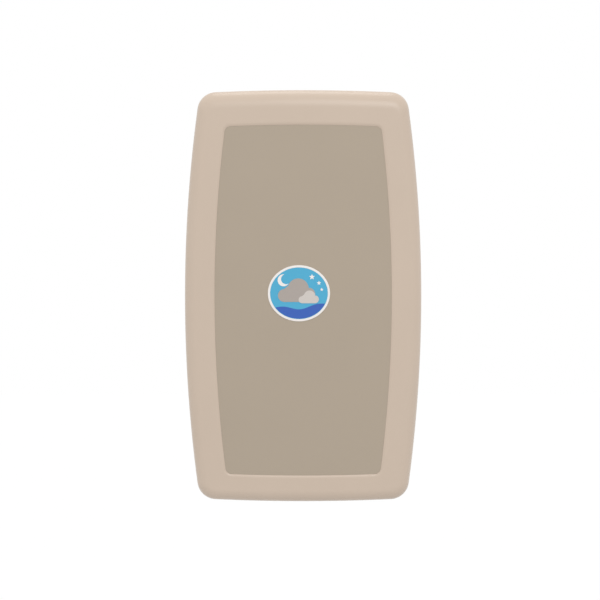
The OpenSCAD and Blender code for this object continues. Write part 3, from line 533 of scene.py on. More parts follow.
def peg(x, z, d0, d1, radius, sides):
    """A round peg that points forwards."""
    deselect()
    bpy.ops.mesh.primitive_cylinder_add(
        vertices=sides, radius=radius * MM, depth=(d1 - d0) * MM,
        location=(x * MM, -(d0 + d1) / 2 * MM, z * MM), rotation=(math.pi / 2, 0, 0))
    return place_in_mesh(bpy.context.object)


def join(pieces, name=None):
    """Make one object of several."""
    deselect()
    for piece in pieces:
        piece.select_set(True)
    bpy.context.view_layer.objects.active = pieces[0]
    if len(pieces) > 1:
        bpy.ops.object.join()
    if name:
        pieces[0].name = name
    return pieces[0]


def apply_modifier(piece, kind, **settings):
    """Add a modifier with its settings, and apply it."""
    pick(piece)
    bpy.ops.object.modifier_add(type=kind)
    modifier = piece.modifiers[-1]
    for name, value in settings.items():
        setattr(modifier, name, value)
    bpy.ops.object.modifier_apply(modifier=modifier.name)


def break_edges(piece, width, segments, angle):
    """Bevel each edge that turns by more than an angle in degrees."""
    apply_modifier(piece, "BEVEL", width=width * MM, segments=segments, limit_method="ANGLE",
                   angle_limit=math.radians(angle))


def carve(piece, tools, operation="DIFFERENCE"):
    """Cut tools out of a piece, or weld them to it, and remove them."""
    tool = join(tools)
    apply_modifier(piece, "BOOLEAN", operation=operation, solver="EXACT", object=tool)
    pick(tool)
    bpy.ops.object.delete()


def smooth(piece, angle=CURVE_ANGLE):
    """Smooth the curves, keep the corners, and keep wide faces flat."""
    pick(piece)
    bpy.ops.object.shade_smooth_by_angle(angle=math.radians(angle))
    apply_modifier(piece, "WEIGHTED_NORMAL", keep_sharp=True, weight=FLAT_WEIGHT)


def fit_out(piece, body, slot, *nodes, look=None):
    """Give a piece its finish, let it ride on its body, and hide the solids it stands for."""
    piece.data.materials.clear()
    piece.data.materials.append(LOOK[look or slot])
    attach(piece, body)
    if nodes:
        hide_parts(*nodes)
    size = ", ".join(f"{side / MM:.0f}" for side in piece.dimensions)
    print(f"{piece.name}: {len(piece.data.polygons)} faces, {size} mm on {body}, in {slot}")
    return piece


print("helpers ready")

# %% [markdown]
# ## The door
# The door is one hollow moulding. Its front edge is a quarter ellipse, wider at the top than at
# the sides, its rim is flat, and a soft lip leads down to the panel. The rings run from the
# inner face, round the back edge and over the front into the recess, so that the wall has its
# real thickness and the mesh closes by itself.

# %% Door shell
WALL, FIT = 4.0, 0.1
EDGE_W, EDGE_TOP_W, EDGE_D, EDGE_STEPS = 24.0, 38.0, 26.0, 16
PANEL_SLOPE, PANEL_T, PANEL_RECESS = 4.0, 2.5, 2.0
PANEL_FACE = DOOR_FRONT - PANEL_RECESS
PANEL_SEAT = PANEL_FACE - PANEL_T
LIP_ROUND, LIP_FOOT, LIP_STEPS = 3.0, 0.05, 9
BACK_LIP, INNER_LIP, GUARD = 1.5, 0.6, 1.5


def quarter(steps):
    """Angles from nothing to a right angle."""
    return [math.pi / 2 * k / steps for k in range(steps + 1)]


def edge_rings(wall):
    """The rounded front edge, on the outer face or one wall inside it."""
    rings = []
    for a in quarter(EDGE_STEPS):
        depth = DOOR_FRONT - EDGE_D + (EDGE_D - wall) * math.sin(a)
        share = 1 - math.cos(a)
        rings.append((depth, door_ring(wall + EDGE_W * share, wall + EDGE_TOP_W * share)))
    return rings


def recess_rings():
    """The recess's wall: a lip that rolls over and meets the panel just above its face."""
    foot = FIT + 0.1
    reach = PANEL_SLOPE + LIP_ROUND
    rings = [(DOOR_FRONT, panel_ring(reach + 0.8))]
    for k in range(LIP_STEPS + 1):
        t = k / LIP_STEPS
        depth = DOOR_FRONT - (PANEL_RECESS - LIP_FOOT) * t ** 2
        rings.append((depth, panel_ring(foot + (reach - foot) * (1 - t))))
    return rings + [(PANEL_FACE - 0.1, panel_ring(FIT)), (PANEL_SEAT, panel_ring(FIT))]


back_edge = [(DOOR_BACK + BACK_LIP * (1 - math.sin(a)), door_ring(BACK_LIP * (1 - math.cos(a))))
             for a in quarter(4)[::-1]]
door = pull("door", [
    (PANEL_SEAT - WALL, panel_ring(WALL + FIT)),
    (DOOR_FRONT - WALL, panel_ring(PANEL_SLOPE + WALL)),
    *edge_rings(WALL)[::-1],
    (DOOR_BACK + INNER_LIP, door_ring(WALL)),
    (DOOR_BACK, door_ring(WALL - INNER_LIP)),
    *back_edge,
    (DOOR_BACK + 2 * BACK_LIP, door_ring(0)),
    *edge_rings(0),
    (DOOR_FRONT, door_ring(EDGE_W + GUARD, EDGE_TOP_W + GUARD)),
    *recess_rings()])
print(f"door shell: {len(door.data.polygons)} faces")

# %% Screw posts inside the door
POST_IN, POST_DROP, POST_TOP_IN, POST_R = 14.3, 115.0, 146.0, 4.5
POST_START, POST_SINK, POST_SIDES = DOOR_BACK + WALL + 0.3, 1.5, 24


def side_x(z, inset):
    """Where the door's side lies at a height, moved in."""
    return HALF_W - SIDE_BOW + math.sqrt((SIDE_BOW - inset) ** 2 - z ** 2)


def top_z(x, inset):
    """How high the door's top lies at a place across, moved in."""
    return HALF_H - END_BOW + math.sqrt((END_BOW - inset) ** 2 - x ** 2)


def post(x, z, edge_w):
    """A post from the bed's flange into the shell's front, under an edge of some width."""
    turn = math.acos(1 - (POST_IN - WALL) / edge_w)
    end = DOOR_FRONT - EDGE_D + (EDGE_D - WALL) * math.sin(turn) + POST_SINK
    return peg(x, z, POST_START, end, POST_R, POST_SIDES)


SIDE_POSTS = [(s * side_x(k * (HALF_H - POST_DROP), POST_IN), k * (HALF_H - POST_DROP))
              for k in (-1, -1 / 3, 1 / 3, 1) for s in BOTH]
TOP_POSTS = [(s * (HALF_W - POST_TOP_IN), top_z(HALF_W - POST_TOP_IN, POST_IN)) for s in BOTH]
POSTS = SIDE_POSTS + TOP_POSTS
carve(door, [post(x, z, EDGE_W) for x, z in SIDE_POSTS]
      + [post(x, z, EDGE_TOP_W) for x, z in TOP_POSTS], "UNION")
smooth(door)
fit_out(door, "bed", "shell_plastic", "door_shell")
print(f"{len(POSTS)} screw posts")

# %% [markdown]
# ## The inlaid panel and its badge
# The panel is a flat sheet with a small broken edge, let into the recess. On the real object an
# oval badge sits near its middle. Here it is a plain nursery picture, a moon, two clouds and
# three stars over water, in raised pieces, so that each has its own colour, its own height and a
# real edge.

# %% Panel
panel = pull("panel", [
    (PANEL_SEAT, panel_ring(0)), (PANEL_FACE - 0.2, panel_ring(0)),
    (PANEL_FACE - 0.06, panel_ring(-0.06)), (PANEL_FACE, panel_ring(-0.2)),
    (PANEL_FACE, panel_ring(-2.0))])
smooth(panel)
fit_out(panel, "bed", "panel_plastic", "front_panel")

# %% Badge plate and field
BADGE_X, BADGE_Z, BADGE_W, BADGE_H, BADGE_T = -9.0, 5.0, 134.0, 121.0, 1.2
BADGE_RIM, OVAL_POINTS = 4.6, 96
BADGE_FACE = PANEL_FACE + BADGE_T
FIELD_FACE = BADGE_FACE - 0.2


def oval(inset):
    """The badge's outline moved in."""
    turns = (math.tau * k / OVAL_POINTS for k in range(OVAL_POINTS))
    wide, high = BADGE_W / 2 - inset, BADGE_H / 2 - inset
    return [(BADGE_X + wide * math.cos(t), BADGE_Z + high * math.sin(t)) for t in turns]


def printed(name, colour):
    """Glossy print under a clear coat, with a faint dot grain."""
    finish = Finish(name, colour, Coat_Weight=0.2, Coat_Roughness=0.08)
    dots = finish.noise(2400.0, 1.0)
    cloud = finish.noise(30.0)
    finish.tones(dots * 0.5 + cloud * 0.5, colour, 0.96, 1.03)
    finish.set("Roughness", 0.26 + 0.1 * dots)
    finish.bump(dots * 0.01)
    return finish.material


for name, colour in [
        ("white_print", (0.90, 0.86, 0.83)), ("sky_print", (0.062, 0.412, 0.645)),
        ("water_print", (0.020, 0.105, 0.470)), ("stone_print", (0.41, 0.36, 0.325)),
        ("pale_print", (0.63, 0.58, 0.54))]:
    LOOK[name] = printed(name, colour)
plate = pull("badge_plate", [
    (PANEL_FACE, oval(0)), (BADGE_FACE - 0.5, oval(0)),
    (BADGE_FACE - 0.15, oval(0.15)), (BADGE_FACE, oval(0.5)),
    (BADGE_FACE, oval(BADGE_RIM)), (BADGE_FACE - 0.3, oval(BADGE_RIM + 0.2)),
    (BADGE_FACE - 0.5, oval(BADGE_RIM + 0.3))])
smooth(plate)
fit_out(plate, "bed", "badge_print", "badge", look="white_print")
field = pull("badge_field", [
    (BADGE_FACE - 0.55, oval(BADGE_RIM + 0.4)), (FIELD_FACE - 0.1, oval(BADGE_RIM + 0.4)),
    (FIELD_FACE, oval(BADGE_RIM + 0.6)), (FIELD_FACE, oval(BADGE_RIM + 2))])
smooth(field)
fit_out(field, "bed", "badge_print", look="sky_print")

# %% Raised picture on the badge
PRINT_EDGE, WATER_IN, SHORE, STAR_NOTCH = 0.15, 1.2, (214, 336), 0.45


def raised(name, outline, look, relief):
    """A flat shape that stands a little proud of the badge's field, with a broken edge."""
    shape = [(BADGE_X + x, BADGE_Z + z) for x, z in outline]
    piece = pull(name, [(FIELD_FACE - 0.1, shape), (FIELD_FACE + relief, shape)])
    break_edges(piece, PRINT_EDGE, 2, 60)
    smooth(piece)
    return fit_out(piece, "bed", "badge_print", look=look)


def water(count=40):
    """The lower part of the field, under one slow wave."""
    wide, high = BADGE_W / 2 - BADGE_RIM - WATER_IN, BADGE_H / 2 - BADGE_RIM - WATER_IN
    start, end = (math.radians(angle) for angle in SHORE)
    turns = [start + (end - start) * k / count for k in range(count + 1)]
    low = [(wide * math.cos(t), high * math.sin(t)) for t in turns]
    (x0, z0), (x1, z1) = low[-1], low[0]
    wave = []
    for k in range(1, count):
        t = k / count
        swell = 3 * math.sin(3 * math.pi * t) - 5 * math.sin(math.pi * t)
        wave.append((x0 + (x1 - x0) * t, z0 + (z1 - z0) * t + swell))
    return low + wave


def crescent(x, z, outer, inner, shift, lean):
    """A moon between two arcs that meet at its horns."""
    reach = (outer ** 2 - inner ** 2 + shift ** 2) / (2 * shift)
    horn = math.acos(reach / outer)
    bite = math.atan2(outer * math.sin(horn), reach - shift)
    far = arc((0, 0), outer, horn, math.tau - horn, 36)
    near = arc((shift, 0), inner, math.tau - bite, bite, 30)
    c, s = math.cos(lean), math.sin(lean)
    return [(x + c * a - s * b, z + s * a + c * b) for a, b in far + near]


def star(x, z, size):
    """A star with five points."""
    points = ((size if k % 2 == 0 else size * STAR_NOTCH, math.pi / 2 + math.pi / 5 * k)
              for k in range(10))
    return [(x + r * math.cos(t), z + r * math.sin(t)) for r, t in points]


def cloud_shape(x, z, size):
    """Three puffs on a flat foot."""
    puffs = (arc((14, 0), 9, -math.pi / 2, math.pi * 0.47, 14)
             + arc((2, 7), 13, math.pi * 0.02, math.pi * 0.95, 18)
             + arc((-15, -1), 8, math.pi * 0.52, math.pi * 1.5, 14) + [(-15, -9)])
    return [(x + size * a, z + size * b) for a, b in puffs]


raised("badge_water", water(), "water_print", 0.25)
raised("badge_moon", crescent(-33, 28, 13, 11, 6, math.radians(25)), "white_print", 0.35)
raised("badge_cloud", cloud_shape(-5, -3, 1.75), "stone_print", 0.45)
raised("badge_cloud_front", cloud_shape(21, -13, 0.95), "pale_print", 0.65)
for k, (x, z, size) in enumerate([(28, 35, 6.5), (43, 22, 5), (49, 8, 4)]):
    raised(f"badge_star_{k + 1}", star(x, z, size), "white_print", 0.35)

# %% [markdown]
# ## The bed
# Behind the door's back edge lies the bed: a flat flange that is screwed to the door, and a soft
# S-shaped slope down to a flat floor. The same pull makes it, from the floor out to the flange
# and back along the hidden side. A shallow groove runs round the floor, and the strap comes out
# of a slot in each side.

# %% Bed tray
TRAY_DEPTH, SLOPE_STEPS = 40.0, 20
GROOVE_IN, GROOVE_W, GROOVE_D, GROOVE_STEPS = 12.0, 5.0, 0.9, 6
FLOOR_START = SLOPE_START + SLOPE_W
BED_FLOOR = DOOR_BACK + TRAY_DEPTH
GROOVE_START = FLOOR_START + GROOVE_IN
STRAP_W, SLOT_IN, SLOT_CUT, SLOT_CORNER = 40.0, 50.0, 6.0, 2.5
SLOT_END = STRAP_W / 2 + 2
SCREW_HEAD_R, SCREW_HEAD_T = 4.2, 2.4
SINK_R, HOLE_SIDES = SCREW_HEAD_R + 0.3, 32


def dish(inset):
    """Depth of the bed's surface at a distance in from the door's side."""
    t = min(1.0, max(0.0, (inset - SLOPE_START) / SLOPE_W))
    return DOOR_BACK + TRAY_DEPTH * (1 - math.cos(math.pi * t)) / 2


slope = [SLOPE_START + SLOPE_W * k / SLOPE_STEPS for k in range(SLOPE_STEPS + 1)]
groove = [(BED_FLOOR + GROOVE_D * math.sin(math.pi * k / GROOVE_STEPS),
           tray_ring(GROOVE_START + GROOVE_W * k / GROOVE_STEPS))
          for k in range(GROOVE_STEPS, -1, -1)]
tray = pull("bed_tray_moulding", [
    (BED_FLOOR, tray_ring(GROOVE_START + GROOVE_W + 3)),
    *groove,
    *((dish(i), tray_ring(i)) for i in slope[::-1]),
    (DOOR_BACK, tray_ring(TRAY_EDGE + 1.2)),
    (DOOR_BACK + 0.35, tray_ring(TRAY_EDGE + 0.35)),
    (DOOR_BACK + 1.2, tray_ring(TRAY_EDGE)),
    (DOOR_BACK + WALL, tray_ring(TRAY_EDGE)),
    *((dish(i) + WALL, tray_ring(i)) for i in slope)])
slots = [block(s * (HALF_W - SLOT_IN) - SLOT_CUT / 2, s * (HALF_W - SLOT_IN) + SLOT_CUT / 2,
               DOOR_BACK, BED_FLOOR, -SLOT_END, SLOT_END, SLOT_CORNER) for s in BOTH]
sinks = [peg(x, z, DOOR_BACK - 1, DOOR_BACK + SCREW_HEAD_T, SINK_R, HOLE_SIDES)
         for x, z in POSTS]
carve(tray, slots + sinks)
smooth(tray)
fit_out(tray, "bed", "shell_plastic", "bed_tray")

# %% [markdown]
# ## The wall housing
# The housing is an open-backed tray with a round front rim and a sunk inner panel. The
# dispenser's window, the finger pocket and the hinge notches are cut out of it, and ribs, screw
# bosses and the pocket's box stand behind the panel, where only the wall sees them.

# %% Wall housing
HOUSING_D, HOUSING_RIM, INNER_FACE = 50.0, 18.0, 44.0
INNER_BACK = INNER_FACE - WALL
RIM_ROUND, INNER_ROUND = 3.0, 1.5
BOSS_X, BOSS_Z, BOSS_R, PLATE_T = 140.0, (270.0, -70.0, -300.0), 7.0, 3.0
RIB_X, RIB_T, RIB_LOW, RIB_TOP, CROSS_RIBS = 46.5, 3.0, -333.0, 50.0, (-150.0, -40.0)
CROSS_END, RIB_BACK, WELD = BOSS_X - 10, PLATE_T + 6, INNER_BACK + 1
POCKET_X, POCKET_BACK, POCKET_LOW = 60.0, 20.0, top_z(0, HOUSING_IN) - 22.0

rim_edge = [(HOUSING_D - RIM_ROUND * (1 - math.sin(a)),
             housing_ring(RIM_ROUND * (1 - math.cos(a)))) for a in quarter(6)]
inner_edge = [(HOUSING_D - INNER_ROUND * (1 - math.cos(a)),
               housing_ring(HOUSING_RIM - INNER_ROUND * (1 - math.sin(a)))) for a in quarter(4)]
housing = pull("housing", [
    (INNER_BACK, housing_ring(HOUSING_RIM - WALL)),
    (HOUSING_D - WALL, housing_ring(HOUSING_RIM - WALL)),
    (HOUSING_D - WALL, housing_ring(WALL)),
    (0, housing_ring(WALL)),
    (0, housing_ring(0)),
    *rim_edge,
    (HOUSING_D, housing_ring(RIM_ROUND + 1)),
    *inner_edge,
    (INNER_FACE + 0.8, housing_ring(HOUSING_RIM)),
    (INNER_FACE + 0.2, housing_ring(HOUSING_RIM + 0.2)),
    (INNER_FACE, housing_ring(HOUSING_RIM + 0.8)),
    (INNER_FACE, housing_ring(HOUSING_RIM + 3))])
for s in BOTH:
    for z in BOSS_Z:
        carve(housing, [peg(s * BOSS_X, z, PLATE_T + 0.1, WELD, BOSS_R, HOLE_SIDES)], "UNION")
carve(housing, [block(s * RIB_X - RIB_T / 2, s * RIB_X + RIB_T / 2, RIB_BACK, WELD,
                      RIB_LOW, RIB_TOP) for s in BOTH], "UNION")
carve(housing, [block(-CROSS_END, CROSS_END, RIB_BACK, WELD, z, z + RIB_T)
                for z in CROSS_RIBS], "UNION")
carve(housing, [block(-POCKET_X - WALL, POCKET_X + WALL, POCKET_BACK - WALL, WELD,
                      POCKET_LOW - WALL, POCKET_LOW + 20)], "UNION")
print(f"housing: {len(housing.data.polygons)} faces before its openings")

# %% Openings in the housing
EARS, EAR_HALF, EAR_TOP = (60.0, 165.0), 5.0, -377.85
LEVER_X, LEVER_HALF, LEVER_TOP = 100.0, 17.5, -367.04
WINDOW_X, WINDOW_LOW, WINDOW_TOP = 114.0, 94.0, 216.0
BOLT_X, BOLT_Z, ACCESS_R = 203.2, 250.0, 10.0
PAST_BACK, PAST_FRONT, PAST_LOW = -1, HOUSING_D + 1, HOUSING_LOW - 1
PANEL_CUT = (INNER_BACK - 1, INNER_FACE + 1)

openings = [block(-POCKET_X, POCKET_X, POCKET_BACK, PAST_FRONT, POCKET_LOW, HALF_H + 10, 5)]
openings += [block(s * x - EAR_HALF, s * x + EAR_HALF, PAST_BACK, PAST_FRONT, PAST_LOW, EAR_TOP,
                   1.5) for s in BOTH for x in EARS]
openings += [block(s * LEVER_X - LEVER_HALF, s * LEVER_X + LEVER_HALF, PAST_BACK, PAST_FRONT,
                   PAST_LOW, LEVER_TOP, 2.5) for s in BOTH]
openings += [block(-WINDOW_X, WINDOW_X, *PANEL_CUT, WINDOW_LOW, WINDOW_TOP, 6)]
openings += [peg(sx * BOLT_X, sz * BOLT_Z, *PANEL_CUT, ACCESS_R, HOLE_SIDES)
             for sx in BOTH for sz in BOTH]
for tool in openings:
    carve(housing, [tool])
smooth(housing)
fit_out(housing, "wall_unit", "shell_plastic", "back_housing")

# %% [markdown]
# ## Hardware with rounded edges
# Brackets, rails, hooks, clamps and the lock already have their right shape as solids, but a
# solid's edges are perfectly sharp, and nothing real is. A copy of each is merged, its flat faces
# are dissolved, and a bevel breaks its edges. The bevel's width follows the piece: wide on
# moulded plastic, narrow on cut steel. Slivers that a bevel leaves are taken out.

# %% Rounded copies
MERGE, FLAT_ANGLE, SLIVER = 1e-6, 0.6, 2e-6
ROUND_SEGMENTS, SHARP_ANGLE = 3, 38


def rounded(node, body, slot, width):
    """A copy of a solid with its edges broken, which stands for that solid."""
    piece = bpy.data.objects.new(node + "_dressed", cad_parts[node].data.copy())
    bpy.context.collection.objects.link(piece)
    pick(piece)
    bpy.ops.object.mode_set(mode="EDIT")
    bpy.ops.mesh.select_all(action="SELECT")
    bpy.ops.mesh.remove_doubles(threshold=MERGE)
    bpy.ops.mesh.dissolve_limited(angle_limit=math.radians(FLAT_ANGLE))
    bpy.ops.object.mode_set(mode="OBJECT")
    break_edges(piece, width, ROUND_SEGMENTS, SHARP_ANGLE)
    bpy.ops.object.mode_set(mode="EDIT")
    bpy.ops.mesh.select_all(action="SELECT")
    bpy.ops.mesh.dissolve_degenerate(threshold=SLIVER)
    bpy.ops.mesh.remove_doubles(threshold=SLIVER)
    bpy.ops.object.mode_set(mode="OBJECT")
    smooth(piece)
    return fit_out(piece, body, slot, node)


for node, body, slot, width in [
        ("wall_plate", "wall_unit", "plated_steel", 0.5),
        ("hinge_brackets", "wall_unit", "plated_steel", 0.7),
        ("bed_stops", "wall_unit", "black_steel", 0.8),
        ("gas_cylinder", "wall_unit", "black_steel", 1.2),
        ("gas_clamps", "wall_unit", "black_plastic", 0.8),
        ("gas_gland", "wall_unit", "bright_steel", 0.4),
        ("hinge_rod", "wall_unit", "bright_steel", 0.8),
        ("hinge_clips", "wall_unit", "bright_steel", 0.3),
        ("hinge_bushes", "wall_unit", "nylon", 0.4),
        ("bolt_caps", "wall_unit", "shell_plastic", 0.9),
        ("bumpers", "wall_unit", "rubber", 0.8),
        ("liner_bin", "wall_unit", "shell_plastic", 0.6),
        ("cover_rails", "wall_unit", "shell_plastic", 0.8),
        ("bag_hooks", "wall_unit", "shell_plastic", 1.8),
        ("gas_rod", "gas_piston", "bright_steel", 0.4),
        ("rod_yoke", "gas_piston", "plated_steel", 0.8),
        ("dispenser_cover", "cover", "shell_plastic", 0.9),
        ("lock_barrel", "cover", "bright_steel", 1.0),
        ("lock_catch", "lock", "bright_steel", 0.7),
        ("bed_rails", "bed", "plated_steel", 1.0),
        ("bed_cross_rails", "bed", "plated_steel", 1.0),
        ("hinge_barrels", "bed", "plated_steel", 0.6),
        ("lever_pin_set", "bed", "bright_steel", 0.4),
        ("strap_bars", "bed", "bright_steel", 0.5),
        ("buckle_frame", "bed", "black_plastic", 0.8),
        ("buckle_pin", "bed", "bright_steel", 0.4),
        ("buckle_cam", "cam", "black_plastic", 1.0)]:
    rounded(node, body, slot, width)

# %% [markdown]
# ## Small mouldings
# A raised lip runs round the slot in the dispenser's cover, so that paper doesn't catch on it,
# and five ribs on the buckle's lever give a thumb some grip. A bump could draw both, but their
# edges show from the side, so the lip is pulled and bored, and the ribs are rounded blocks.

# %% Cover slot lip and lever ribs
COVER_FRONT, SLOT_Z, SLOT_HALF, SLOT_R = 48.4, 156.0, 62.0, 13.0
CAM_TOP, GRIP_HALF_W, GRIP_REACH, GRIP_EDGE = 74.1, 0.9, 15, 0.3
GRIPS_X = (25, 28.6, 32.2, 35.8, 39.4)


def stadium(radius, count=20):
    """The slot's outline: two half circles joined by straight sides."""
    turn = math.pi / 2
    return (arc((SLOT_HALF, SLOT_Z), radius, -turn, turn, count)
            + [(SLOT_HALF, SLOT_Z + radius)]
            + arc((-SLOT_HALF, SLOT_Z), radius, turn, 3 * turn, count)
            + [(-SLOT_HALF, SLOT_Z - radius)])


lip = pull("slot_lip", [
    (COVER_FRONT - 0.4, stadium(SLOT_R + 4)), (COVER_FRONT + 0.5, stadium(SLOT_R + 4)),
    (COVER_FRONT + 1.2, stadium(SLOT_R + 3.3)), (COVER_FRONT + 1.5, stadium(SLOT_R + 2.2)),
    (COVER_FRONT + 1.5, stadium(SLOT_R + 1.2))])
carve(lip, [pull("slot_bore", [
    (COVER_FRONT - 2, stadium(SLOT_R)), (COVER_FRONT + 0.7, stadium(SLOT_R)),
    (COVER_FRONT + 1.6, stadium(SLOT_R + 0.9))])])
smooth(lip)
fit_out(lip, "cover", "shell_plastic")
grip = join([block(x - GRIP_HALF_W, x + GRIP_HALF_W, CAM_TOP - 0.7, CAM_TOP + 0.5,
                   k - GRIP_REACH, GRIP_REACH - k, 0.5, "z") for k, x in enumerate(GRIPS_X)],
            "lever_ribs")
break_edges(grip, GRIP_EDGE, 2, 40)
smooth(grip)
fit_out(grip, "cam", "black_plastic")

# %% [markdown]
# ## Screws
# The heads that show are pan heads with a cross slot. One screw is turned from a cylinder, its
# head is rounded with a bevel and the cross is cut with two blades. It is then copied to each
# place, each copy with its own mesh.

# %% One screw, copied to its places
HEAD_ROUND, HEAD_SEGMENTS, HEAD_SIDES, SCREW_R, SHANK_SIDES = 1.1, 5, 40, 2.0, 20
CROSS_D, BLADE_L, BLADE_T, ON_FACE = 1.3, 2.4, 0.45, 0.01


def cross_screw(x, z, tip, head, outwards):
    """A screw whose head sits at a depth and faces the front, or the wall if outwards is -1."""
    face = head + outwards * SCREW_HEAD_T
    piece = peg(x, z, min(head, face), max(head, face), SCREW_HEAD_R, HEAD_SIDES)
    bevel_edges(piece, lambda edge: all(abs(-v.co.y / MM - face) < ON_FACE for v in edge.verts),
                HEAD_ROUND, HEAD_SEGMENTS)
    cut = sorted((face - outwards * CROSS_D, face + outwards))
    for wide, high in ((BLADE_L, BLADE_T), (BLADE_T, BLADE_L)):
        carve(piece, [block(x - wide, x + wide, *cut, z - high, z + high)])
    return join([piece, peg(x, z, min(tip, head), max(tip, head), SCREW_R, SHANK_SIDES)])


def screw_set(node, body, places, tip, head, outwards=1):
    """Screws for one node: one is modelled, and the others are moved copies of it."""
    x0, z0 = places[0]
    first = cross_screw(x0, z0, tip, head, outwards)
    smooth(first)
    screws = [first]
    for x, z in places[1:]:
        pick(first)
        bpy.ops.object.duplicate()
        bpy.ops.transform.translate(value=((x - x0) * MM, 0, (z - z0) * MM))
        screws.append(place_in_mesh(bpy.context.object))
    fit_out(join(screws, node + "_dressed"), body, "bright_steel", node)


hook_low, hook_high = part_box("bag_hooks")
HOOK_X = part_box("hook_screws")[1].x / MM - SCREW_HEAD_R
HOOK_Z, HOOK_DZ = (hook_low.z + hook_high.z) / 2 / MM, 22
RAIL_X, RAIL_Z = 129.6, (110, 190, 325)
WALL_TIP, PANEL_TIP, RAIL_FACE, HOOK_FACE = 0.5, 36, 51.8, 47
TRAY_TIP, TRAY_HEAD = 20, SCREW_HEAD_T + 0.2
screw_set("housing_screws", "wall_unit", [(s * BOSS_X, z) for s in BOTH for z in BOSS_Z],
          WALL_TIP, INNER_FACE)
screw_set("rail_screws", "wall_unit", [(s * RAIL_X, z) for s in BOTH for z in RAIL_Z],
          PANEL_TIP, RAIL_FACE)
screw_set("hook_screws", "wall_unit",
          [(s * HOOK_X, HOOK_Z + d) for s in BOTH for d in (-HOOK_DZ, HOOK_DZ)],
          PANEL_TIP, HOOK_FACE)
screw_set("tray_screws", "bed", POSTS, DOOR_BACK + TRAY_TIP, DOOR_BACK + TRAY_HEAD, -1)
rounded("clamp_screws", "wall_unit", "bright_steel", 0.5)

# %% [markdown]
# ## Strap
# Two lengths of 40 mm webbing come out of the slots. The left one is sewn round the buckle's
# loop. The right one runs under the cam, over the loop and on as a loose end. Webbing is flat
# and keeps its width, so each is a grid laid along a rounded path and thickened, and its map
# runs along the path so that the weave follows it.

# %% Straps along their paths
STRAP_T, STRAP_COLUMNS, STRAP_STEP, STRAP_EDGE = 1.6, 8, 2.0, 0.45
GAP, HALF_T = 0.5, STRAP_T / 2
BAR = (209.7, 67.5)
LOOP_X, LOOP_D, LOOP_R = -42.0, 87.3, 3.6
FLOOR_MID = BED_FLOOR - GAP - HALF_T
SEWN_D, CAM_D, OVER_D, TAIL_D = 89.05, 88.6, 81.8, 88.5


def from_slot():
    """Middle of the webbing from the bar behind the bed, through the slot, down the slope."""
    first = SLOT_IN + SLOT_CUT / 2
    down = [first + (FLOOR_START - first) * k / 10 for k in range(11)]
    return ([BAR, (HALF_W - SLOT_IN, dish(SLOT_IN) + WALL + GAP + HALF_T)]
            + [(HALF_W - i, dish(i) - GAP - HALF_T) for i in down])


def rounded_path(points, rounds=3):
    """Cut the corners of a path again and again until it runs smoothly."""
    for _ in range(rounds):
        cut = [points[0]]
        for (x0, d0), (x1, d1) in zip(points, points[1:]):
            cut += [((1 - t) * x0 + t * x1, (1 - t) * d0 + t * d1) for t in (0.25, 0.75)]
        points = cut + [points[-1]]
    return points


def even_path(points, step):
    """The same path with its points an even step apart, and its length."""
    marks = [0.0]
    for a, b in zip(points, points[1:]):
        marks.append(marks[-1] + math.dist(a, b))
    count = round(marks[-1] / step)
    path, k = [], 0
    for n in range(count + 1):
        at = marks[-1] * n / count
        while k < len(marks) - 2 and marks[k + 1] < at:
            k += 1
        t = (at - marks[k]) / max(marks[k + 1] - marks[k], 1e-9)
        path.append(tuple(a + (b - a) * t for a, b in zip(points[k], points[k + 1])))
    return path, marks[-1]


def strap(name, points, *nodes):
    """Webbing laid along a path of (x, depth), with a map in strap widths."""
    path, length = even_path(rounded_path(points), STRAP_STEP)
    deselect()
    bpy.ops.mesh.primitive_grid_add(x_subdivisions=STRAP_COLUMNS, y_subdivisions=len(path) - 1,
                                    size=1, calc_uvs=True)
    piece = bpy.context.object
    piece.name = name
    for k, vertex in enumerate(piece.data.vertices):
        row, column = divmod(k, STRAP_COLUMNS + 1)
        x, depth = path[row]
        vertex.co = (x * MM, -depth * MM, STRAP_W * (column / STRAP_COLUMNS - 0.5) * MM)
    for loop in piece.data.uv_layers[0].data:
        loop.uv.y *= length / STRAP_W
    apply_modifier(piece, "SOLIDIFY", thickness=STRAP_T * MM, offset=0.0, use_even_offset=True)
    break_edges(piece, STRAP_EDGE, 2, 60)
    smooth(piece, 50)
    fit_out(piece, "bed", "webbing", *nodes)
    print(f"{name}: {STRAP_W:.0f} x {length:.0f} mm of webbing")
    return piece, length


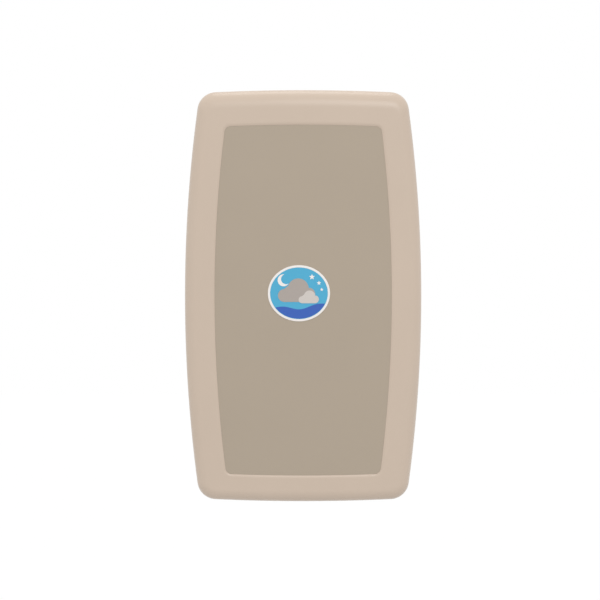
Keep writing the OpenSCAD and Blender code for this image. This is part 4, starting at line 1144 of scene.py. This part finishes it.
loop_turn = [(LOOP_X + LOOP_R * math.sin(a), LOOP_D + LOOP_R * math.cos(a))
             for a in (math.pi * k / 10 for k in range(11))]
left_path = [(-x, d) for x, d in from_slot()] + [
    (-60.0, FLOOR_MID), (-50.0, FLOOR_MID), *loop_turn,
    (-46.5, 85.2), (-50.0, 88.6), (-54.0, SEWN_D), (-64.0, SEWN_D)]
right_path = from_slot() + [
    (56.0, FLOOR_MID), (36.0, CAM_D), (-18.0, CAM_D), (-35.6, OVER_D), (-46.4, OVER_D),
    (-68.4, TAIL_D), (-78.0, TAIL_D), (-140.0, TAIL_D)]
left, left_length = strap("strap_left_web", left_path, "strap_left")
right, right_length = strap("strap_right_web", right_path, "strap_right")

# %% Stitches
STITCH, STITCH_GAP, THREAD_R, THREAD_FLAT, SUNK = 2.6, 0.9, 0.36, 1.3, 0.05
SEAM_NEAR, SEAM_FAR, SEAM_Z = -53, -62.5, 16
TAIL_SEAM_X, TAIL_SEAM_Z = (-136, -130), 17


def seam(name, lines, depth):
    """A row of short stitches along each line of (x0, z0, x1, z1), half sunk in the webbing."""
    stitches = []
    for x0, z0, x1, z1 in lines:
        reach = math.dist((x0, z0), (x1, z1))
        count = max(1, round(reach / (STITCH + STITCH_GAP)))
        turn = (0, -math.atan2(z1 - z0, x1 - x0), 0)
        for k in range(count):
            t = (k + 0.5) / count
            place = ((x0 + (x1 - x0) * t) * MM, -depth * MM, (z0 + (z1 - z0) * t) * MM)
            deselect()
            bpy.ops.mesh.primitive_uv_sphere_add(
                segments=8, ring_count=6, radius=1, location=place, rotation=turn)
            stitch = bpy.context.object
            stitch.scale = (STITCH / 2 * MM, THREAD_R * MM, THREAD_R * THREAD_FLAT * MM)
            stitches.append(place_in_mesh(stitch))
    piece = join(stitches, name)
    smooth(piece, 60)
    fit_out(piece, "bed", "webbing", look="thread")
    print(f"{name}: {len(stitches)} stitches")
    return piece


sewn = seam("loop_seam", [
    (SEAM_NEAR, -SEAM_Z, SEAM_NEAR, SEAM_Z), (SEAM_FAR, -SEAM_Z, SEAM_FAR, SEAM_Z),
    (SEAM_NEAR, -SEAM_Z, SEAM_FAR, -SEAM_Z), (SEAM_NEAR, SEAM_Z, SEAM_FAR, SEAM_Z),
    (SEAM_NEAR, -SEAM_Z, SEAM_FAR, SEAM_Z), (SEAM_NEAR, SEAM_Z, SEAM_FAR, -SEAM_Z)],
    SEWN_D - HALF_T - SUNK)
tail = seam("tail_seam", [(x, -TAIL_SEAM_Z, x, TAIL_SEAM_Z) for x in TAIL_SEAM_X],
            TAIL_D - HALF_T - SUNK)
left_length * MM
right_length * MM
